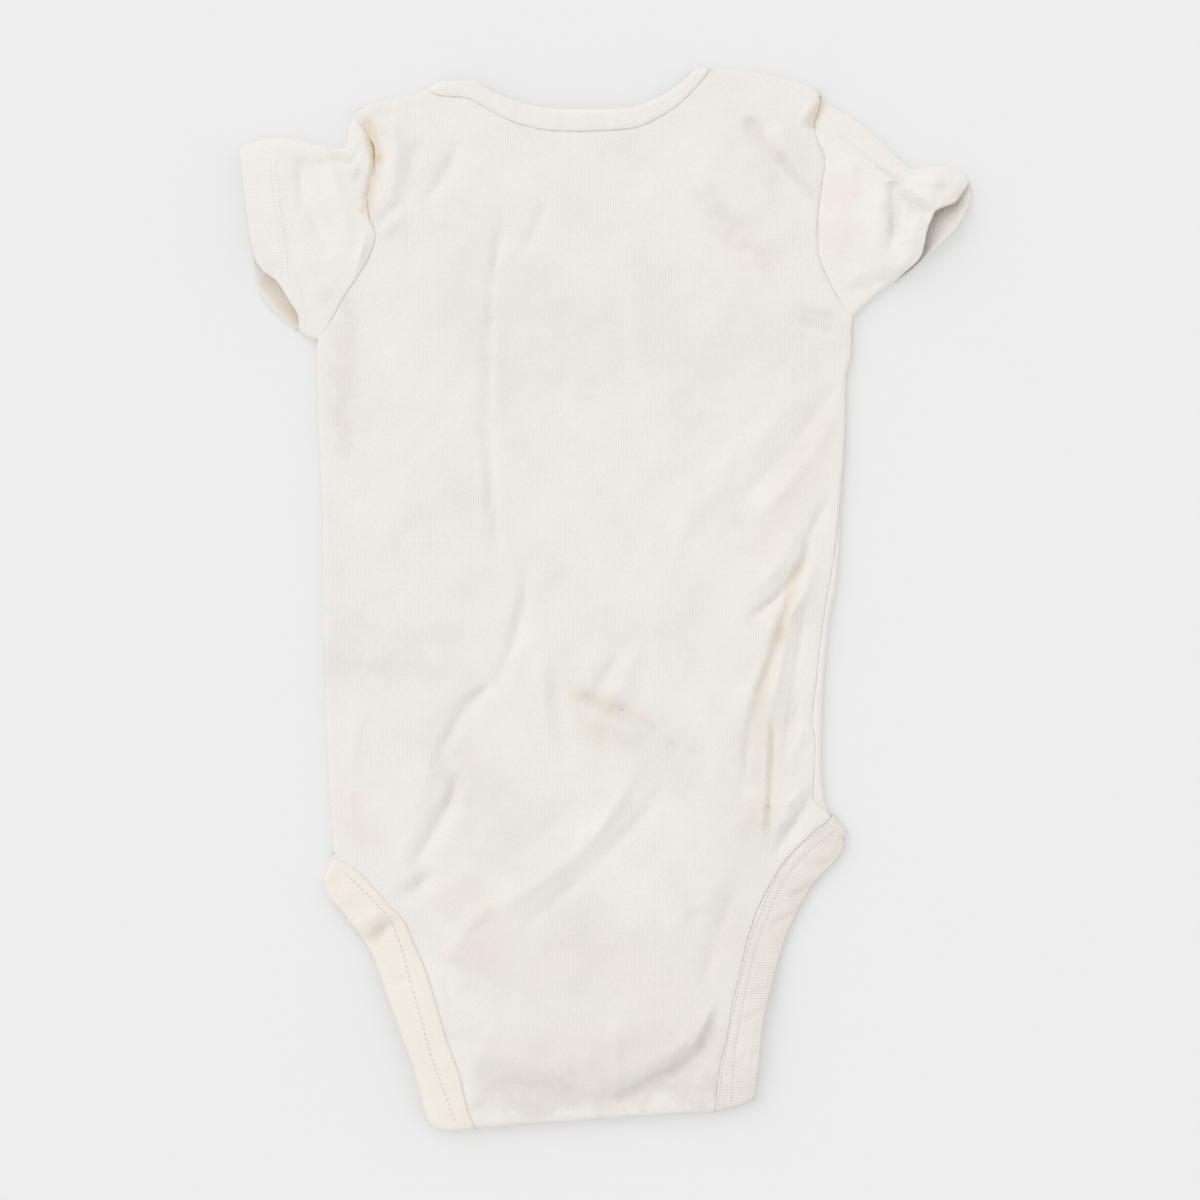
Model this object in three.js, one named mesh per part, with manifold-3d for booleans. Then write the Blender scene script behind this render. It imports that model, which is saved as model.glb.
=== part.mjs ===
// Infant's short-sleeved rib bodysuit, lying flat on its front with its back upward.
// Frame: millimetres, +Z up from the surface, +Y towards the neck, +X to the right of the picture.
import * as THREE from "three";
import { mergeVertices } from "three/addons/utils/BufferGeometryUtils.js";
import Module from "manifold-3d";

const wasm = await Module();
wasm.setup();

// Driving dimensions
const CLOTH = 1; // wall of the rib knit
const BAND = 1.2; // a binding is the knit folded double and pressed
const HEM = 1.7; // a sleeve hem is turned under once
const GAP = 0.3; // between pieces that are sewn together
const NECK_DITCH = 0.8; // the ditches beside the neck binding and round the armholes are wider
const ARMHOLE_DITCH = 0.9;
const FOLD = 2.2; // outer radius of a folded edge
const EDGE_TOP = 2 * FOLD; // height of the top layer at a folded edge
const LOFT = 1.5; // how far the top layer stands above its edges
const LOFT_REACH = 32; // inward distance over which it rises
const FOLD_FADE = 9; // the named folds die out over this distance from the edges
const FLAP_REACH = 22; // length of the back crotch flap beyond its fold
const FLAP_LIFT = 2.7; // underside of the back crotch flap, over the front one
const CROTCH_TOP = FLAP_LIFT + EDGE_TOP;
const FRONT_FLAP_LIFT = 1.2; // underside of the front crotch flap, over the snap caps
const FRONT_FLAP_START = 4; // the front ends this far short of the crotch fold
const LAP_LIFT = 1.5; // the front panel lies over the back's shoulder laps
const LAP_LEAST = 6; // the shoulder fold begins at least this far below the neck seam
const LAP_END = 1.5; // and is complete at least this far below it
const FRONT_LEG_INSET = 3; // the front leg openings are cut deeper than the back's
const FRONT_CUT = 1.6; // the front takes this share of the inset, so that it clears its binding
const SEAM_INSIDE = 1.3; // the rolled side seam stays this far inside the flat of the top layer
const NECK_BAND = 8.5; // width of the front neck binding
const DRILL_PAST = 0.5; // a drill for a snap's post reaches past the cloth

// The upper face dips no lower than this, and than this much more over the laps and over the flaps
const CLEAR = { least: 2.8, overLaps: 1.4, overFlaps: 3.6 };

// Heights along the garment over which the cloth passes from one level to the next, from its middle
const OVER_FLAPS = { from: 128, to: 160 };
const OVER_LAPS = { from: 112, to: 136 };
const FRONT_OVER_LAPS = { from: 124, to: 144 };
const FRONT_OVER_CAPS = { from: 158, to: 172 };

// Ends of the rolled sides
const HIP_LEFT = -97;
const ARMPIT_LEFT = 99;
const HIP_RIGHT = -83;
const ARMPIT_RIGHT = 106;

// A sleeve swells by half a sine that starts early and covers part of its length; its hem comes last
const SWELL = { start: 0.1, span: 0.62, sharpness: 0.8 };
const HEM_START = 0.87;

// Angles at which the cloth is laid round a side fold, from the underside to the top
const TURN = [-60, -20, 20, 55];

const SNAP = { cap: 4.8, capHeight: 0.9, post: 1.4, socket: 4.2, socketHeight: 1, spacing: 30, sides: 12 };
const SNAP_ROW = { x: -4, y: -184 };
const SNAP_PLACES = [-1, 0, 1].map((k) => SNAP_ROW.x + k * SNAP.spacing);

const KNIT = { color: 0xe9e5de, roughness: 0.95, metalness: 0 };
const PEACH_KNIT = { color: 0xeadfd3, roughness: 0.95, metalness: 0 };
const SNAP_FINISH = { color: 0xe4e2dc, roughness: 0.45, metalness: 0.1 };

// Left edge of the back as it lies, from the end of the crotch flap to the tip of the shoulder lap
const LEFT_EDGE = [
  { y: -232, x: -42 }, { y: -214, x: -46.5 }, { y: -200.3, x: -49.4 }, { y: -193, x: -52.2 },
  { y: -179.7, x: -55.3 }, { y: -168.3, x: -59.5 }, { y: -153.7, x: -64 }, { y: -142.1, x: -67.5 },
  { y: -131.1, x: -72.4 }, { y: -122.4, x: -76.2 }, { y: -115, x: -83 }, { y: -108.7, x: -88.5 },
  { y: -102.2, x: -95.2 }, { y: -97.3, x: -103 }, { y: -91, x: -103.5 }, { y: -60.8, x: -105.3 },
  { y: -15, x: -106.8 }, { y: 38, x: -107.5 }, { y: 70, x: -109.2 }, { y: 98.4, x: -109.6 },
  { y: 106.8, x: -104.1 }, { y: 115.1, x: -99.4 }, { y: 123.1, x: -94 }, { y: 130.7, x: -89.7 },
  { y: 138.3, x: -87.4 }, { y: 146.3, x: -90.2 }, { y: 152, x: -90.6 }, { y: 161.5, x: -87.2 },
  { y: 171, x: -87.2 }, { y: 178.6, x: -91.4 }, { y: 184.5, x: -96 }, { y: 192, x: -90 },
  { y: 200, x: -86 }, { y: 240, x: -86 },
];

// Right edge as it lies, where the front panel's fold is the outermost line between hip and armpit
const RIGHT_EDGE = [
  { y: -232, x: 34 }, { y: -214, x: 38.5 }, { y: -194.6, x: 41.5 }, { y: -176.7, x: 43.7 },
  { y: -166.4, x: 46.2 }, { y: -153.9, x: 48.3 }, { y: -144.2, x: 50.7 }, { y: -129.8, x: 54.1 },
  { y: -117.8, x: 58 }, { y: -108.3, x: 62.7 }, { y: -99.4, x: 68.2 }, { y: -93.1, x: 73.9 },
  { y: -86.6, x: 81.1 }, { y: -82.1, x: 86.3 }, { y: -76, x: 84 }, { y: -60, x: 82.8 },
  { y: -38, x: 83.4 }, { y: -9.5, x: 85.7 }, { y: 7.6, x: 88.7 }, { y: 38, x: 90.6 },
  { y: 64.6, x: 92.2 }, { y: 83.6, x: 92.4 }, { y: 95, x: 94.8 }, { y: 106.8, x: 94.4 },
  { y: 114.8, x: 89.1 }, { y: 121.2, x: 85.7 }, { y: 132.2, x: 81.7 }, { y: 143.3, x: 81.5 },
  { y: 155, x: 82.6 }, { y: 166.8, x: 84.2 }, { y: 175.2, x: 81.1 }, { y: 180.1, x: 79.6 },
  { y: 189, x: 82 }, { y: 197, x: 80 }, { y: 205, x: 78 }, { y: 240, x: 78 },
];

// Right side seam, which has rolled on top of the garment
const SIDE_SEAM = [
  { y: -86, x: 82 }, { y: -80, x: 82 }, { y: -75.6, x: 79.2 }, { y: -67.3, x: 79.6 },
  { y: -55.5, x: 80.2 }, { y: -45.6, x: 78.9 }, { y: -34.2, x: 80.2 }, { y: -17.9, x: 81.9 },
  { y: -1.5, x: 84.2 }, { y: 11, x: 86.5 }, { y: 23.2, x: 88 }, { y: 35.7, x: 89.5 }, { y: 110, x: 95 },
];

// Line over which the back wraps under at the shoulders, by x; it stands clear of the neck between
const SHOULDER_FOLD = [
  { x: -110, y: 181 }, { x: -96, y: 184.8 }, { x: -91, y: 187.4 }, { x: -84.9, y: 189.8 },
  { x: -76.2, y: 191.5 }, { x: -70.1, y: 193 }, { x: -65.9, y: 195.3 }, { x: -60.6, y: 197.6 },
  { x: -53.8, y: 198.4 }, { x: -46, y: 199 }, { x: -36, y: 214 }, { x: 20, y: 214 },
  { x: 28.7, y: 204 }, { x: 34.4, y: 202.2 }, { x: 43.9, y: 201.8 }, { x: 56.4, y: 201.4 },
  { x: 66.7, y: 199.1 }, { x: 78.5, y: 195.3 }, { x: 83.4, y: 191.9 }, { x: 96, y: 184 },
];

// Line over which the back wraps under at the crotch, by x
const CROTCH_FOLD = [
  { x: -70, y: -199 }, { x: -59.5, y: -201.4 }, { x: -49.2, y: -200.6 }, { x: -32, y: -199.3 },
  { x: -1.7, y: -197.2 }, { x: 32.5, y: -194.8 }, { x: 41.2, y: -194.6 }, { x: 50.7, y: -192.3 },
  { x: 66.7, y: -188.5 },
];

// Neck seam of the back and the opening edge of its binding, both before they are folded under
const BACK_NECK = [
  { x: -86, y: 221.9, edgeX: -78.9, edgeY: 226.5 }, { x: -80.4, y: 213.2, edgeX: -73.2, edgeY: 217.7 },
  { x: -76.2, y: 206, edgeX: -69, edgeY: 210.5 }, { x: -72, y: 199.9, edgeX: -65.2, edgeY: 204.6 },
  { x: -67.8, y: 195, edgeX: -62.1, edgeY: 201 }, { x: -62.5, y: 192, edgeX: -59.5, edgeY: 198.6 },
  { x: -52.6, y: 191.1, edgeX: -50.7, edgeY: 198 }, { x: -46.9, y: 188.5, edgeX: -44.3, edgeY: 194.4 },
  { x: -39.3, y: 184.3, edgeX: -37, edgeY: 191.1 }, { x: -31.3, y: 180.9, edgeX: -29.8, edgeY: 188.7 },
  { x: -19.2, y: 178.6, edgeX: -18.4, edgeY: 186.8 }, { x: -8.2, y: 178.4, edgeX: -8.2, edgeY: 186.7 },
  { x: 3.2, y: 178.9, edgeX: 2.5, edgeY: 186.8 }, { x: 11.2, y: 179.7, edgeX: 9.3, edgeY: 187.2 },
  { x: 18.8, y: 182.8, edgeX: 15.4, edgeY: 189.1 }, { x: 26.8, y: 187.7, edgeX: 22.8, edgeY: 192.5 },
  { x: 32.9, y: 193.4, edgeX: 28.7, edgeY: 196.3 }, { x: 37.4, y: 198.4, edgeX: 33.5, edgeY: 201.2 },
  { x: 41, y: 204.5, edgeX: 36, edgeY: 209 }, { x: 46, y: 211, edgeX: 40.5, edgeY: 216.2 },
  { x: 51.5, y: 216.2, edgeX: 47.5, edgeY: 222.8 }, { x: 61, y: 220.4, edgeX: 58, edgeY: 227.3 },
  { x: 70.5, y: 224.2, edgeX: 68.5, edgeY: 231.6 }, { x: 78, y: 227.2, edgeX: 75.8, edgeY: 234.5 },
];

// Neck seam of the front, lower than the back's, with its shoulder points just inside the folds
const FRONT_NECK = [
  { x: -110, y: 176 }, { x: -96, y: 180 }, { x: -88, y: 184.5 }, { x: -74, y: 188 }, { x: -69, y: 178 },
  { x: -61, y: 164 }, { x: -49, y: 152 }, { x: -30, y: 143.5 }, { x: -8, y: 140.2 }, { x: 14, y: 142.5 },
  { x: 32, y: 150.5 }, { x: 45, y: 163 }, { x: 52, y: 178 }, { x: 57, y: 196 }, { x: 79, y: 190 },
  { x: 96, y: 178 },
];
const SHOULDER_POINTS = [-72.5, 53.5]; // between them the front neck is open

// Leg bindings, from the end of the crotch flap to the hip: height of the seam point, and the free edge
const LEFT_LEG_BAND = [
  { y: -230, edgeX: -53, edgeY: -230 }, { y: -214, edgeX: -59.5, edgeY: -214 },
  { y: -200.3, edgeX: -66, edgeY: -200.3 }, { y: -194.6, edgeX: -68, edgeY: -195 },
  { y: -182, edgeX: -71.2, edgeY: -182.4 }, { y: -169.1, edgeX: -75.4, edgeY: -169.9 },
  { y: -153.7, edgeX: -80.7, edgeY: -155.4 }, { y: -140.6, edgeX: -85.7, edgeY: -141.7 },
  { y: -131.9, edgeX: -88.7, edgeY: -134.1 }, { y: -121.5, edgeX: -94, edgeY: -126.5 },
  { y: -115, edgeX: -97.9, edgeY: -121.2 }, { y: -107, edgeX: -102.4, edgeY: -116 },
  { y: -102.5, edgeX: -105.2, edgeY: -112.3 }, { y: -99, edgeX: -106.3, edgeY: -108.6 },
];
const RIGHT_LEG_BAND = [
  { y: -230, edgeX: 44, edgeY: -230 }, { y: -214, edgeX: 50, edgeY: -214 },
  { y: -194.6, edgeX: 56.4, edgeY: -192.8 }, { y: -176.3, edgeX: 58.5, edgeY: -178.6 },
  { y: -162.6, edgeX: 60.2, edgeY: -161.1 }, { y: -146.7, edgeX: 63.7, edgeY: -146.7 },
  { y: -131.5, edgeX: 68.2, edgeY: -130.7 }, { y: -115.5, edgeX: 74.7, edgeY: -115.9 },
  { y: -101.8, edgeX: 82.7, edgeY: -104.5 }, { y: -93.1, edgeX: 89, edgeY: -98 },
  { y: -88.5, edgeX: 91, edgeY: -94 }, { y: -86.5, edgeX: 91.2, edgeY: -91.5 },
];

// Sleeves: upper silhouette and underarm run from armhole to hem; hems run from top to underarm
const LEFT_SLEEVE = {
  upper: [
    { x: -97.7, y: 184.4 }, { x: -99.4, y: 178.2 }, { x: -100.2, y: 172 }, { x: -103.2, y: 171.8 },
    { x: -109.6, y: 173.3 }, { x: -122.9, y: 175.6 }, { x: -135.8, y: 173.7 }, { x: -138.9, y: 171.4 },
  ],
  under: [{ x: -110.5, y: 98.4 }, { x: -113.4, y: 99.6 }, { x: -115.9, y: 101.8 }],
  hemTop: [
    { x: -138.9, y: 171.4 }, { x: -137.8, y: 162.6 }, { x: -135.5, y: 144.4 }, { x: -133.9, y: 134.9 },
    { x: -129.4, y: 122 }, { x: -122.5, y: 112.9 }, { x: -115.9, y: 101.8 },
  ],
  hemUnder: [
    { x: -138.9, y: 171.4 }, { x: -137.4, y: 153.9 }, { x: -134.7, y: 133.8 }, { x: -131.3, y: 117 },
    { x: -124.1, y: 107.9 }, { x: -115.9, y: 101.8 },
  ],
  swell: 1.6,
  mouth: 0.4,
};
const RIGHT_SLEEVE = {
  upper: [
    { x: 85.3, y: 191.6 }, { x: 90.2, y: 187.3 }, { x: 96.3, y: 183.5 }, { x: 106.6, y: 174.8 },
    { x: 115.3, y: 166.1 }, { x: 118.4, y: 163.8 }, { x: 128.2, y: 164.9 }, { x: 137.4, y: 161.5 },
    { x: 138.9, y: 158.8 },
  ],
  under: [{ x: 95.2, y: 106.2 }, { x: 98.6, y: 110 }, { x: 103.2, y: 114.8 }, { x: 110.4, y: 121.2 }],
  hemTop: [
    { x: 138.9, y: 158.8 }, { x: 133.9, y: 153.9 }, { x: 127.1, y: 145.5 }, { x: 123.3, y: 137.2 },
    { x: 116.5, y: 126.5 }, { x: 110.4, y: 121.2 },
  ],
  hemUnder: [
    { x: 138.9, y: 158.8 }, { x: 139.3, y: 153.9 }, { x: 134.1, y: 141.4 }, { x: 125, y: 132.6 },
    { x: 117.2, y: 125.4 }, { x: 110.4, y: 121.2 },
  ],
  swell: 5,
  mouth: 6,
};

// Main folds of the back: start, a point on the way, end, height of the crest (minus for a trough), half width
const FOLDS = [
  { x0: -34, y0: 146, x1: -45, y1: 76, x2: -40, y2: 6, height: -1.2, width: 6 },
  { x0: -25, y0: 152, x1: -29, y1: 136, x2: -32, y2: 128, height: 0.8, width: 6 },
  { x0: -25, y0: 15, x1: -39, y1: -34, x2: -74, y2: -95, height: -1.9, width: 7 },
  { x0: -18, y0: -4, x1: -29, y1: -42, x2: -62, y2: -92, height: 1.6, width: 7 },
  { x0: 17, y0: 4, x1: 8, y1: -15, x2: 0, y2: -34, height: -1, width: 7 },
  { x0: -2, y0: -38, x1: 14, y1: -48, x2: 29, y2: -55, height: -1.2, width: 6 },
  { x0: 17, y0: -65, x1: -24, y1: -106, x2: -57, y2: -137, height: 2, width: 7 },
  { x0: 24, y0: -76, x1: -17, y1: -116, x2: -48, y2: -146, height: -1.3, width: 7 },
  { x0: -49, y0: -176, x1: 2, y1: -186, x2: 41, y2: -152, height: -2.2, width: 9 },
  { x0: 91, y0: 86, x1: 60, y1: 42, x2: 44, y2: 27, height: 1.2, width: 6 },
  { x0: 89, y0: 53, x1: 75, y1: 22, x2: 53, y2: -10, height: 1.6, width: 6 },
  { x0: 74, y0: 15, x1: 64, y1: -40, x2: 55, y2: -87, height: -1.8, width: 6 },
  { x0: 80, y0: 8, x1: 72, y1: -45, x2: 64, y2: -84, height: 1.3, width: 5 },
  { x0: 59, y0: 179, x1: 65, y1: 167, x2: 80, y2: 152, height: -1.2, width: 6 },
  { x0: -78, y0: 186, x1: -80, y1: 165, x2: -84, y2: 140, height: 1.1, width: 5 },
  { x0: -47, y0: 186, x1: -54, y1: 171, x2: -61, y2: 156, height: 0.9, width: 5 },
  { x0: 36, y0: 49, x1: 27, y1: 17, x2: 17, y2: -15, height: 1, width: 8 },
  { x0: 55, y0: 76, x1: 46, y1: 53, x2: 36, y2: 30, height: 0.9, width: 7 },
];

const lerp = THREE.MathUtils.lerp;
const smooth = THREE.MathUtils.smoothstep;

// Value of a column of a table at a given key, straight between rows
function read(table, key, at, column) {
  const last = table.length - 1;
  if (at <= table[0][key]) return table[0][column];
  for (let i = 0; i < last; i++) {
    const [a, b] = [table[i], table[i + 1]];
    if (at <= b[key]) return lerp(a[column], b[column], (at - a[key]) / (b[key] - a[key]));
  }
  return table[last][column];
}

// Point at a share of the length of a line of points
function along(line, share) {
  const points = line.map((p) => new THREE.Vector2(p.x, p.y));
  const steps = points.slice(1).map((p, i) => p.distanceTo(points[i]));
  let rest = share * steps.reduce((sum, step) => sum + step, 0);
  for (let i = 0; i < steps.length; i++) {
    if (rest <= steps[i] || i === steps.length - 1) {
      return points[i].clone().lerp(points[i + 1], rest / steps[i]);
    }
    rest -= steps[i];
  }
  return points[0];
}

const leftEdge = (y) => read(LEFT_EDGE, "y", y, "x");
const rightEdge = (y) => read(RIGHT_EDGE, "y", y, "x");
const shoulderFold = (x) => read(SHOULDER_FOLD, "x", x, "y");
const crotchFold = (x) => read(CROTCH_FOLD, "x", x, "y");
const backNeck = (x) => read(BACK_NECK, "x", x, "y");
const frontNeck = (x) => read(FRONT_NECK, "x", x, "y");

// Height that the named folds add at a point of the back; each is nearly flat at its ends
function foldHeight(x, y) {
  const samples = 10;
  const nearlyFlat = 0.06;
  let sum = 0;
  for (const fold of FOLDS) {
    let nearest = Infinity;
    let share = 0;
    for (let i = 0; i <= samples; i++) {
      const t = i / samples;
      const [a, b, c] = [(1 - t) ** 2, 2 * t * (1 - t), t * t];
      const bendX = 2 * fold.x1 - (fold.x0 + fold.x2) / 2;
      const bendY = 2 * fold.y1 - (fold.y0 + fold.y2) / 2;
      const dx = a * fold.x0 + b * bendX + c * fold.x2 - x;
      const dy = a * fold.y0 + b * bendY + c * fold.y2 - y;
      const distance = Math.hypot(dx, dy);
      if (distance < nearest) [nearest, share] = [distance, t];
    }
    const fade = Math.sqrt(Math.sin(Math.PI * lerp(nearlyFlat, 1 - nearlyFlat, share)));
    sum += fold.height * fade * Math.exp(-((nearest / fold.width) ** 2));
  }
  return sum;
}

// Height of the garment's upper face where it lies
function topHeight(x, y) {
  const inward = Math.min(x - leftEdge(y), rightEdge(y) - x) - FOLD;
  const fromTop = Math.min(shoulderFold(x), backNeck(x)) - FOLD - y;
  const fromCrotch = y - crotchFold(x) - FOLD;
  const nearest = Math.max(0, Math.min(inward, fromTop, fromCrotch));
  const overFlaps = smooth(-y, OVER_FLAPS.from, OVER_FLAPS.to);
  const overLaps = smooth(y, OVER_LAPS.from, OVER_LAPS.to);
  const rise = (CROTCH_TOP - EDGE_TOP) * overFlaps + LOFT * smooth(nearest, 0, LOFT_REACH);
  const folds = foldHeight(x, y) * smooth(nearest, 0, FOLD_FADE);
  const clear = CLEAR.least + CLEAR.overLaps * overLaps + CLEAR.overFlaps * overFlaps;
  return Math.max(EDGE_TOP + rise + folds, clear);
}

// Lower face of the front panel
function frontHeight(y) {
  const overLaps = LAP_LIFT * smooth(y, FRONT_OVER_LAPS.from, FRONT_OVER_LAPS.to);
  return overLaps + FRONT_FLAP_LIFT * smooth(-y, FRONT_OVER_CAPS.from, FRONT_OVER_CAPS.to);
}

// Place of a point of the back's cloth: x and y before folding, rise measured outward from its face
function wrapBack(x, y, rise) {
  const shoulder = shoulderFold(x) - FOLD;
  const crotch = crotchFold(x) + FOLD;
  const radius = FOLD + rise;
  if (y > shoulder) {
    const past = y - shoulder;
    const turn = past / FOLD;
    if (turn >= Math.PI) return new THREE.Vector3(x, shoulder - past + Math.PI * FOLD, -rise);
    return new THREE.Vector3(x, shoulder + radius * Math.sin(turn), FOLD + radius * Math.cos(turn));
  }
  if (y < crotch) {
    const past = crotch - y;
    const turn = past / FOLD;
    if (turn >= Math.PI) return new THREE.Vector3(x, crotch + past - Math.PI * FOLD, FLAP_LIFT - rise);
    const z = FLAP_LIFT + FOLD + radius * Math.cos(turn);
    return new THREE.Vector3(x, crotch - radius * Math.sin(turn), z);
  }
  return new THREE.Vector3(x, y, topHeight(x, y) + rise);
}

// Height along a column at which it reaches a neck line, found by halving the span that holds it
function reachNeck(columnX, neck) {
  const halvings = 26;
  let [low, high] = [60, 238];
  for (let i = 0; i < halvings; i++) {
    const middle = (low + high) / 2;
    if (neck(columnX(middle)) > middle) low = middle;
    else high = middle;
  }
  return low;
}

// Closed wall on a grid of outer points: rows of columns, its thickness inward by row
function wallGeometry(grid, thickness, ring = false) {
  const rows = grid.length;
  const columns = grid[0].length;
  const at = (i, j) => i * columns + ((j + columns) % columns);
  const faces = [];
  const across = ring ? columns : columns - 1;
  for (let i = 0; i < rows - 1; i++) {
    for (let j = 0; j < across; j++) {
      const [a, b, c, d] = [at(i, j), at(i, j + 1), at(i + 1, j + 1), at(i + 1, j)];
      faces.push([a, b, c], [a, c, d]);
    }
  }
  const outer = grid.flat();
  const normals = outer.map(() => new THREE.Vector3());
  for (const [a, b, c] of faces) {
    const ab = outer[b].clone().sub(outer[a]);
    const normal = ab.cross(outer[c].clone().sub(outer[a]));
    for (const k of [a, b, c]) normals[k].add(normal);
  }
  const inner = outer.map((p, k) => {
    const wall = thickness(Math.floor(k / columns) / (rows - 1));
    return p.clone().addScaledVector(normals[k].normalize(), -wall);
  });
  const count = outer.length;
  const index = [];
  for (const [a, b, c] of faces) index.push(a, b, c, count + a, count + c, count + b);
  const side = (a, b) => index.push(b, a, count + a, b, count + a, count + b);
  for (let j = 0; j < across; j++) {
    side(at(0, j), at(0, j + 1));
    side(at(rows - 1, j + 1), at(rows - 1, j));
  }
  if (!ring) {
    for (let i = 0; i < rows - 1; i++) {
      side(at(i + 1, 0), at(i, 0));
      side(at(i, columns - 1), at(i + 1, columns - 1));
    }
  }
  const geometry = new THREE.BufferGeometry();
  const places = [...outer, ...inner].flatMap((p) => [p.x, p.y, p.z]);
  geometry.setAttribute("position", new THREE.Float32BufferAttribute(places, 3));
  geometry.setIndex(index);
  return geometry;
}

function toManifold(geometry) {
  const vertProperties = new Float32Array(geometry.attributes.position.array);
  const mesh = new wasm.Mesh({ numProp: 3, vertProperties, triVerts: new Uint32Array(geometry.index.array) });
  return new wasm.Manifold(mesh);
}

function fromManifold(solid) {
  const mesh = solid.getMesh();
  const geometry = new THREE.BufferGeometry();
  geometry.setAttribute("position", new THREE.BufferAttribute(mesh.vertProperties, 3));
  geometry.setIndex(new THREE.BufferAttribute(mesh.triVerts, 1));
  return geometry;
}

// Solid turned about the vertical through a point, from a profile of radius and height
function turned(profile, x, y) {
  const points = profile.map(([radius, z]) => new THREE.Vector2(radius, z));
  const lathe = new THREE.LatheGeometry(points, SNAP.sides);
  lathe.rotateX(Math.PI / 2);
  lathe.translate(x, y, 0);
  return lathe;
}

// Evenly spaced stations through a list of spans, each given by its ends and how many steps it takes
function stations(spans) {
  const list = [spans[0].from];
  for (const { from, to, steps } of spans) {
    for (let i = 1; i <= steps; i++) list.push(lerp(from, to, i / steps));
  }
  return list;
}

const backRight = (y) => {
  if (y < HIP_RIGHT || y > ARMPIT_RIGHT) return rightEdge(y) - GAP / 2;
  return Math.min(read(SIDE_SEAM, "y", y, "x"), rightEdge(y) - FOLD - SEAM_INSIDE);
};
const legInset = (y, hip) => FRONT_LEG_INSET * smooth(hip - y, 0, 30);
const frontLeft = (y) => {
  if (y > HIP_LEFT && y < ARMPIT_LEFT) return leftEdge(y) + FOLD;
  return leftEdge(y) + GAP / 2 + FRONT_CUT * legInset(y, HIP_LEFT);
};
const frontRight = (y) => rightEdge(y) - GAP / 2 - FRONT_CUT * legInset(y, HIP_RIGHT);

// Back panel: over the shoulders and the crotch it turns under, and round the left side too
function backPanel() {
  const across = 25;
  const columnX = (share) => (y) => lerp(leftEdge(y) + FOLD, backRight(y), share);
  const sideRows = [
    { from: 0, to: -126, steps: 6 }, { from: -126, to: HIP_LEFT, steps: 5 },
    { from: HIP_LEFT, to: HIP_LEFT + 1, steps: 1 }, { from: HIP_LEFT + 1, to: ARMPIT_LEFT - 1, steps: 15 },
    { from: ARMPIT_LEFT - 1, to: ARMPIT_LEFT, steps: 1 }, { from: ARMPIT_LEFT, to: 0, steps: 9 },
  ];
  const column = (share) => {
    const x = columnX(share);
    const top = reachNeck(x, backNeck);
    const crotch = crotchFold(x(-198)) + FOLD;
    const shoulder = Math.min(shoulderFold(x(190)) - FOLD, top - LAP_LEAST);
    const lap = Math.min(shoulder + Math.PI * FOLD, top - LAP_END);
    return { x, crotch, shoulder, lap, top };
  };
  const first = column(0);
  sideRows[0].from = first.crotch;
  sideRows[5].to = first.shoulder;
  const shares = stations(sideRows).map((y) => (y - first.crotch) / (first.shoulder - first.crotch));
  const columns = stations([{ from: 0, to: 1, steps: across }]).map((share) => {
    const c = column(share);
    const flap = c.crotch - Math.PI * FOLD;
    const body = shares.map((part) => lerp(c.crotch, c.shoulder, part));
    const low = stations([
      { from: flap - FLAP_REACH, to: flap, steps: 3 }, { from: flap, to: c.crotch, steps: 4 },
    ]);
    const high = stations([
      { from: c.shoulder, to: c.lap, steps: 4 }, { from: c.lap, to: c.top, steps: 3 },
    ]);
    return { x: c.x, rows: [...low.slice(0, -1), ...body, ...high.slice(1)] };
  });
  return columns[0].rows.map((leftY, i) => {
    const isSide = leftY > HIP_LEFT + 0.5 && leftY < ARMPIT_LEFT - 0.5;
    const turn = TURN.map((degrees, k) => {
      const angle = THREE.MathUtils.degToRad(degrees);
      const flatX = leftEdge(leftY) + lerp(GAP / 2, FOLD, k / TURN.length);
      if (!isSide) return wrapBack(flatX, leftY, 0);
      const x = leftEdge(leftY) + FOLD - FOLD * Math.cos(angle);
      return new THREE.Vector3(x, leftY, FOLD + FOLD * Math.sin(angle));
    });
    return [...turn, ...columns.map((c) => wrapBack(c.x(c.rows[i]), c.rows[i], 0))];
  });
}

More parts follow.
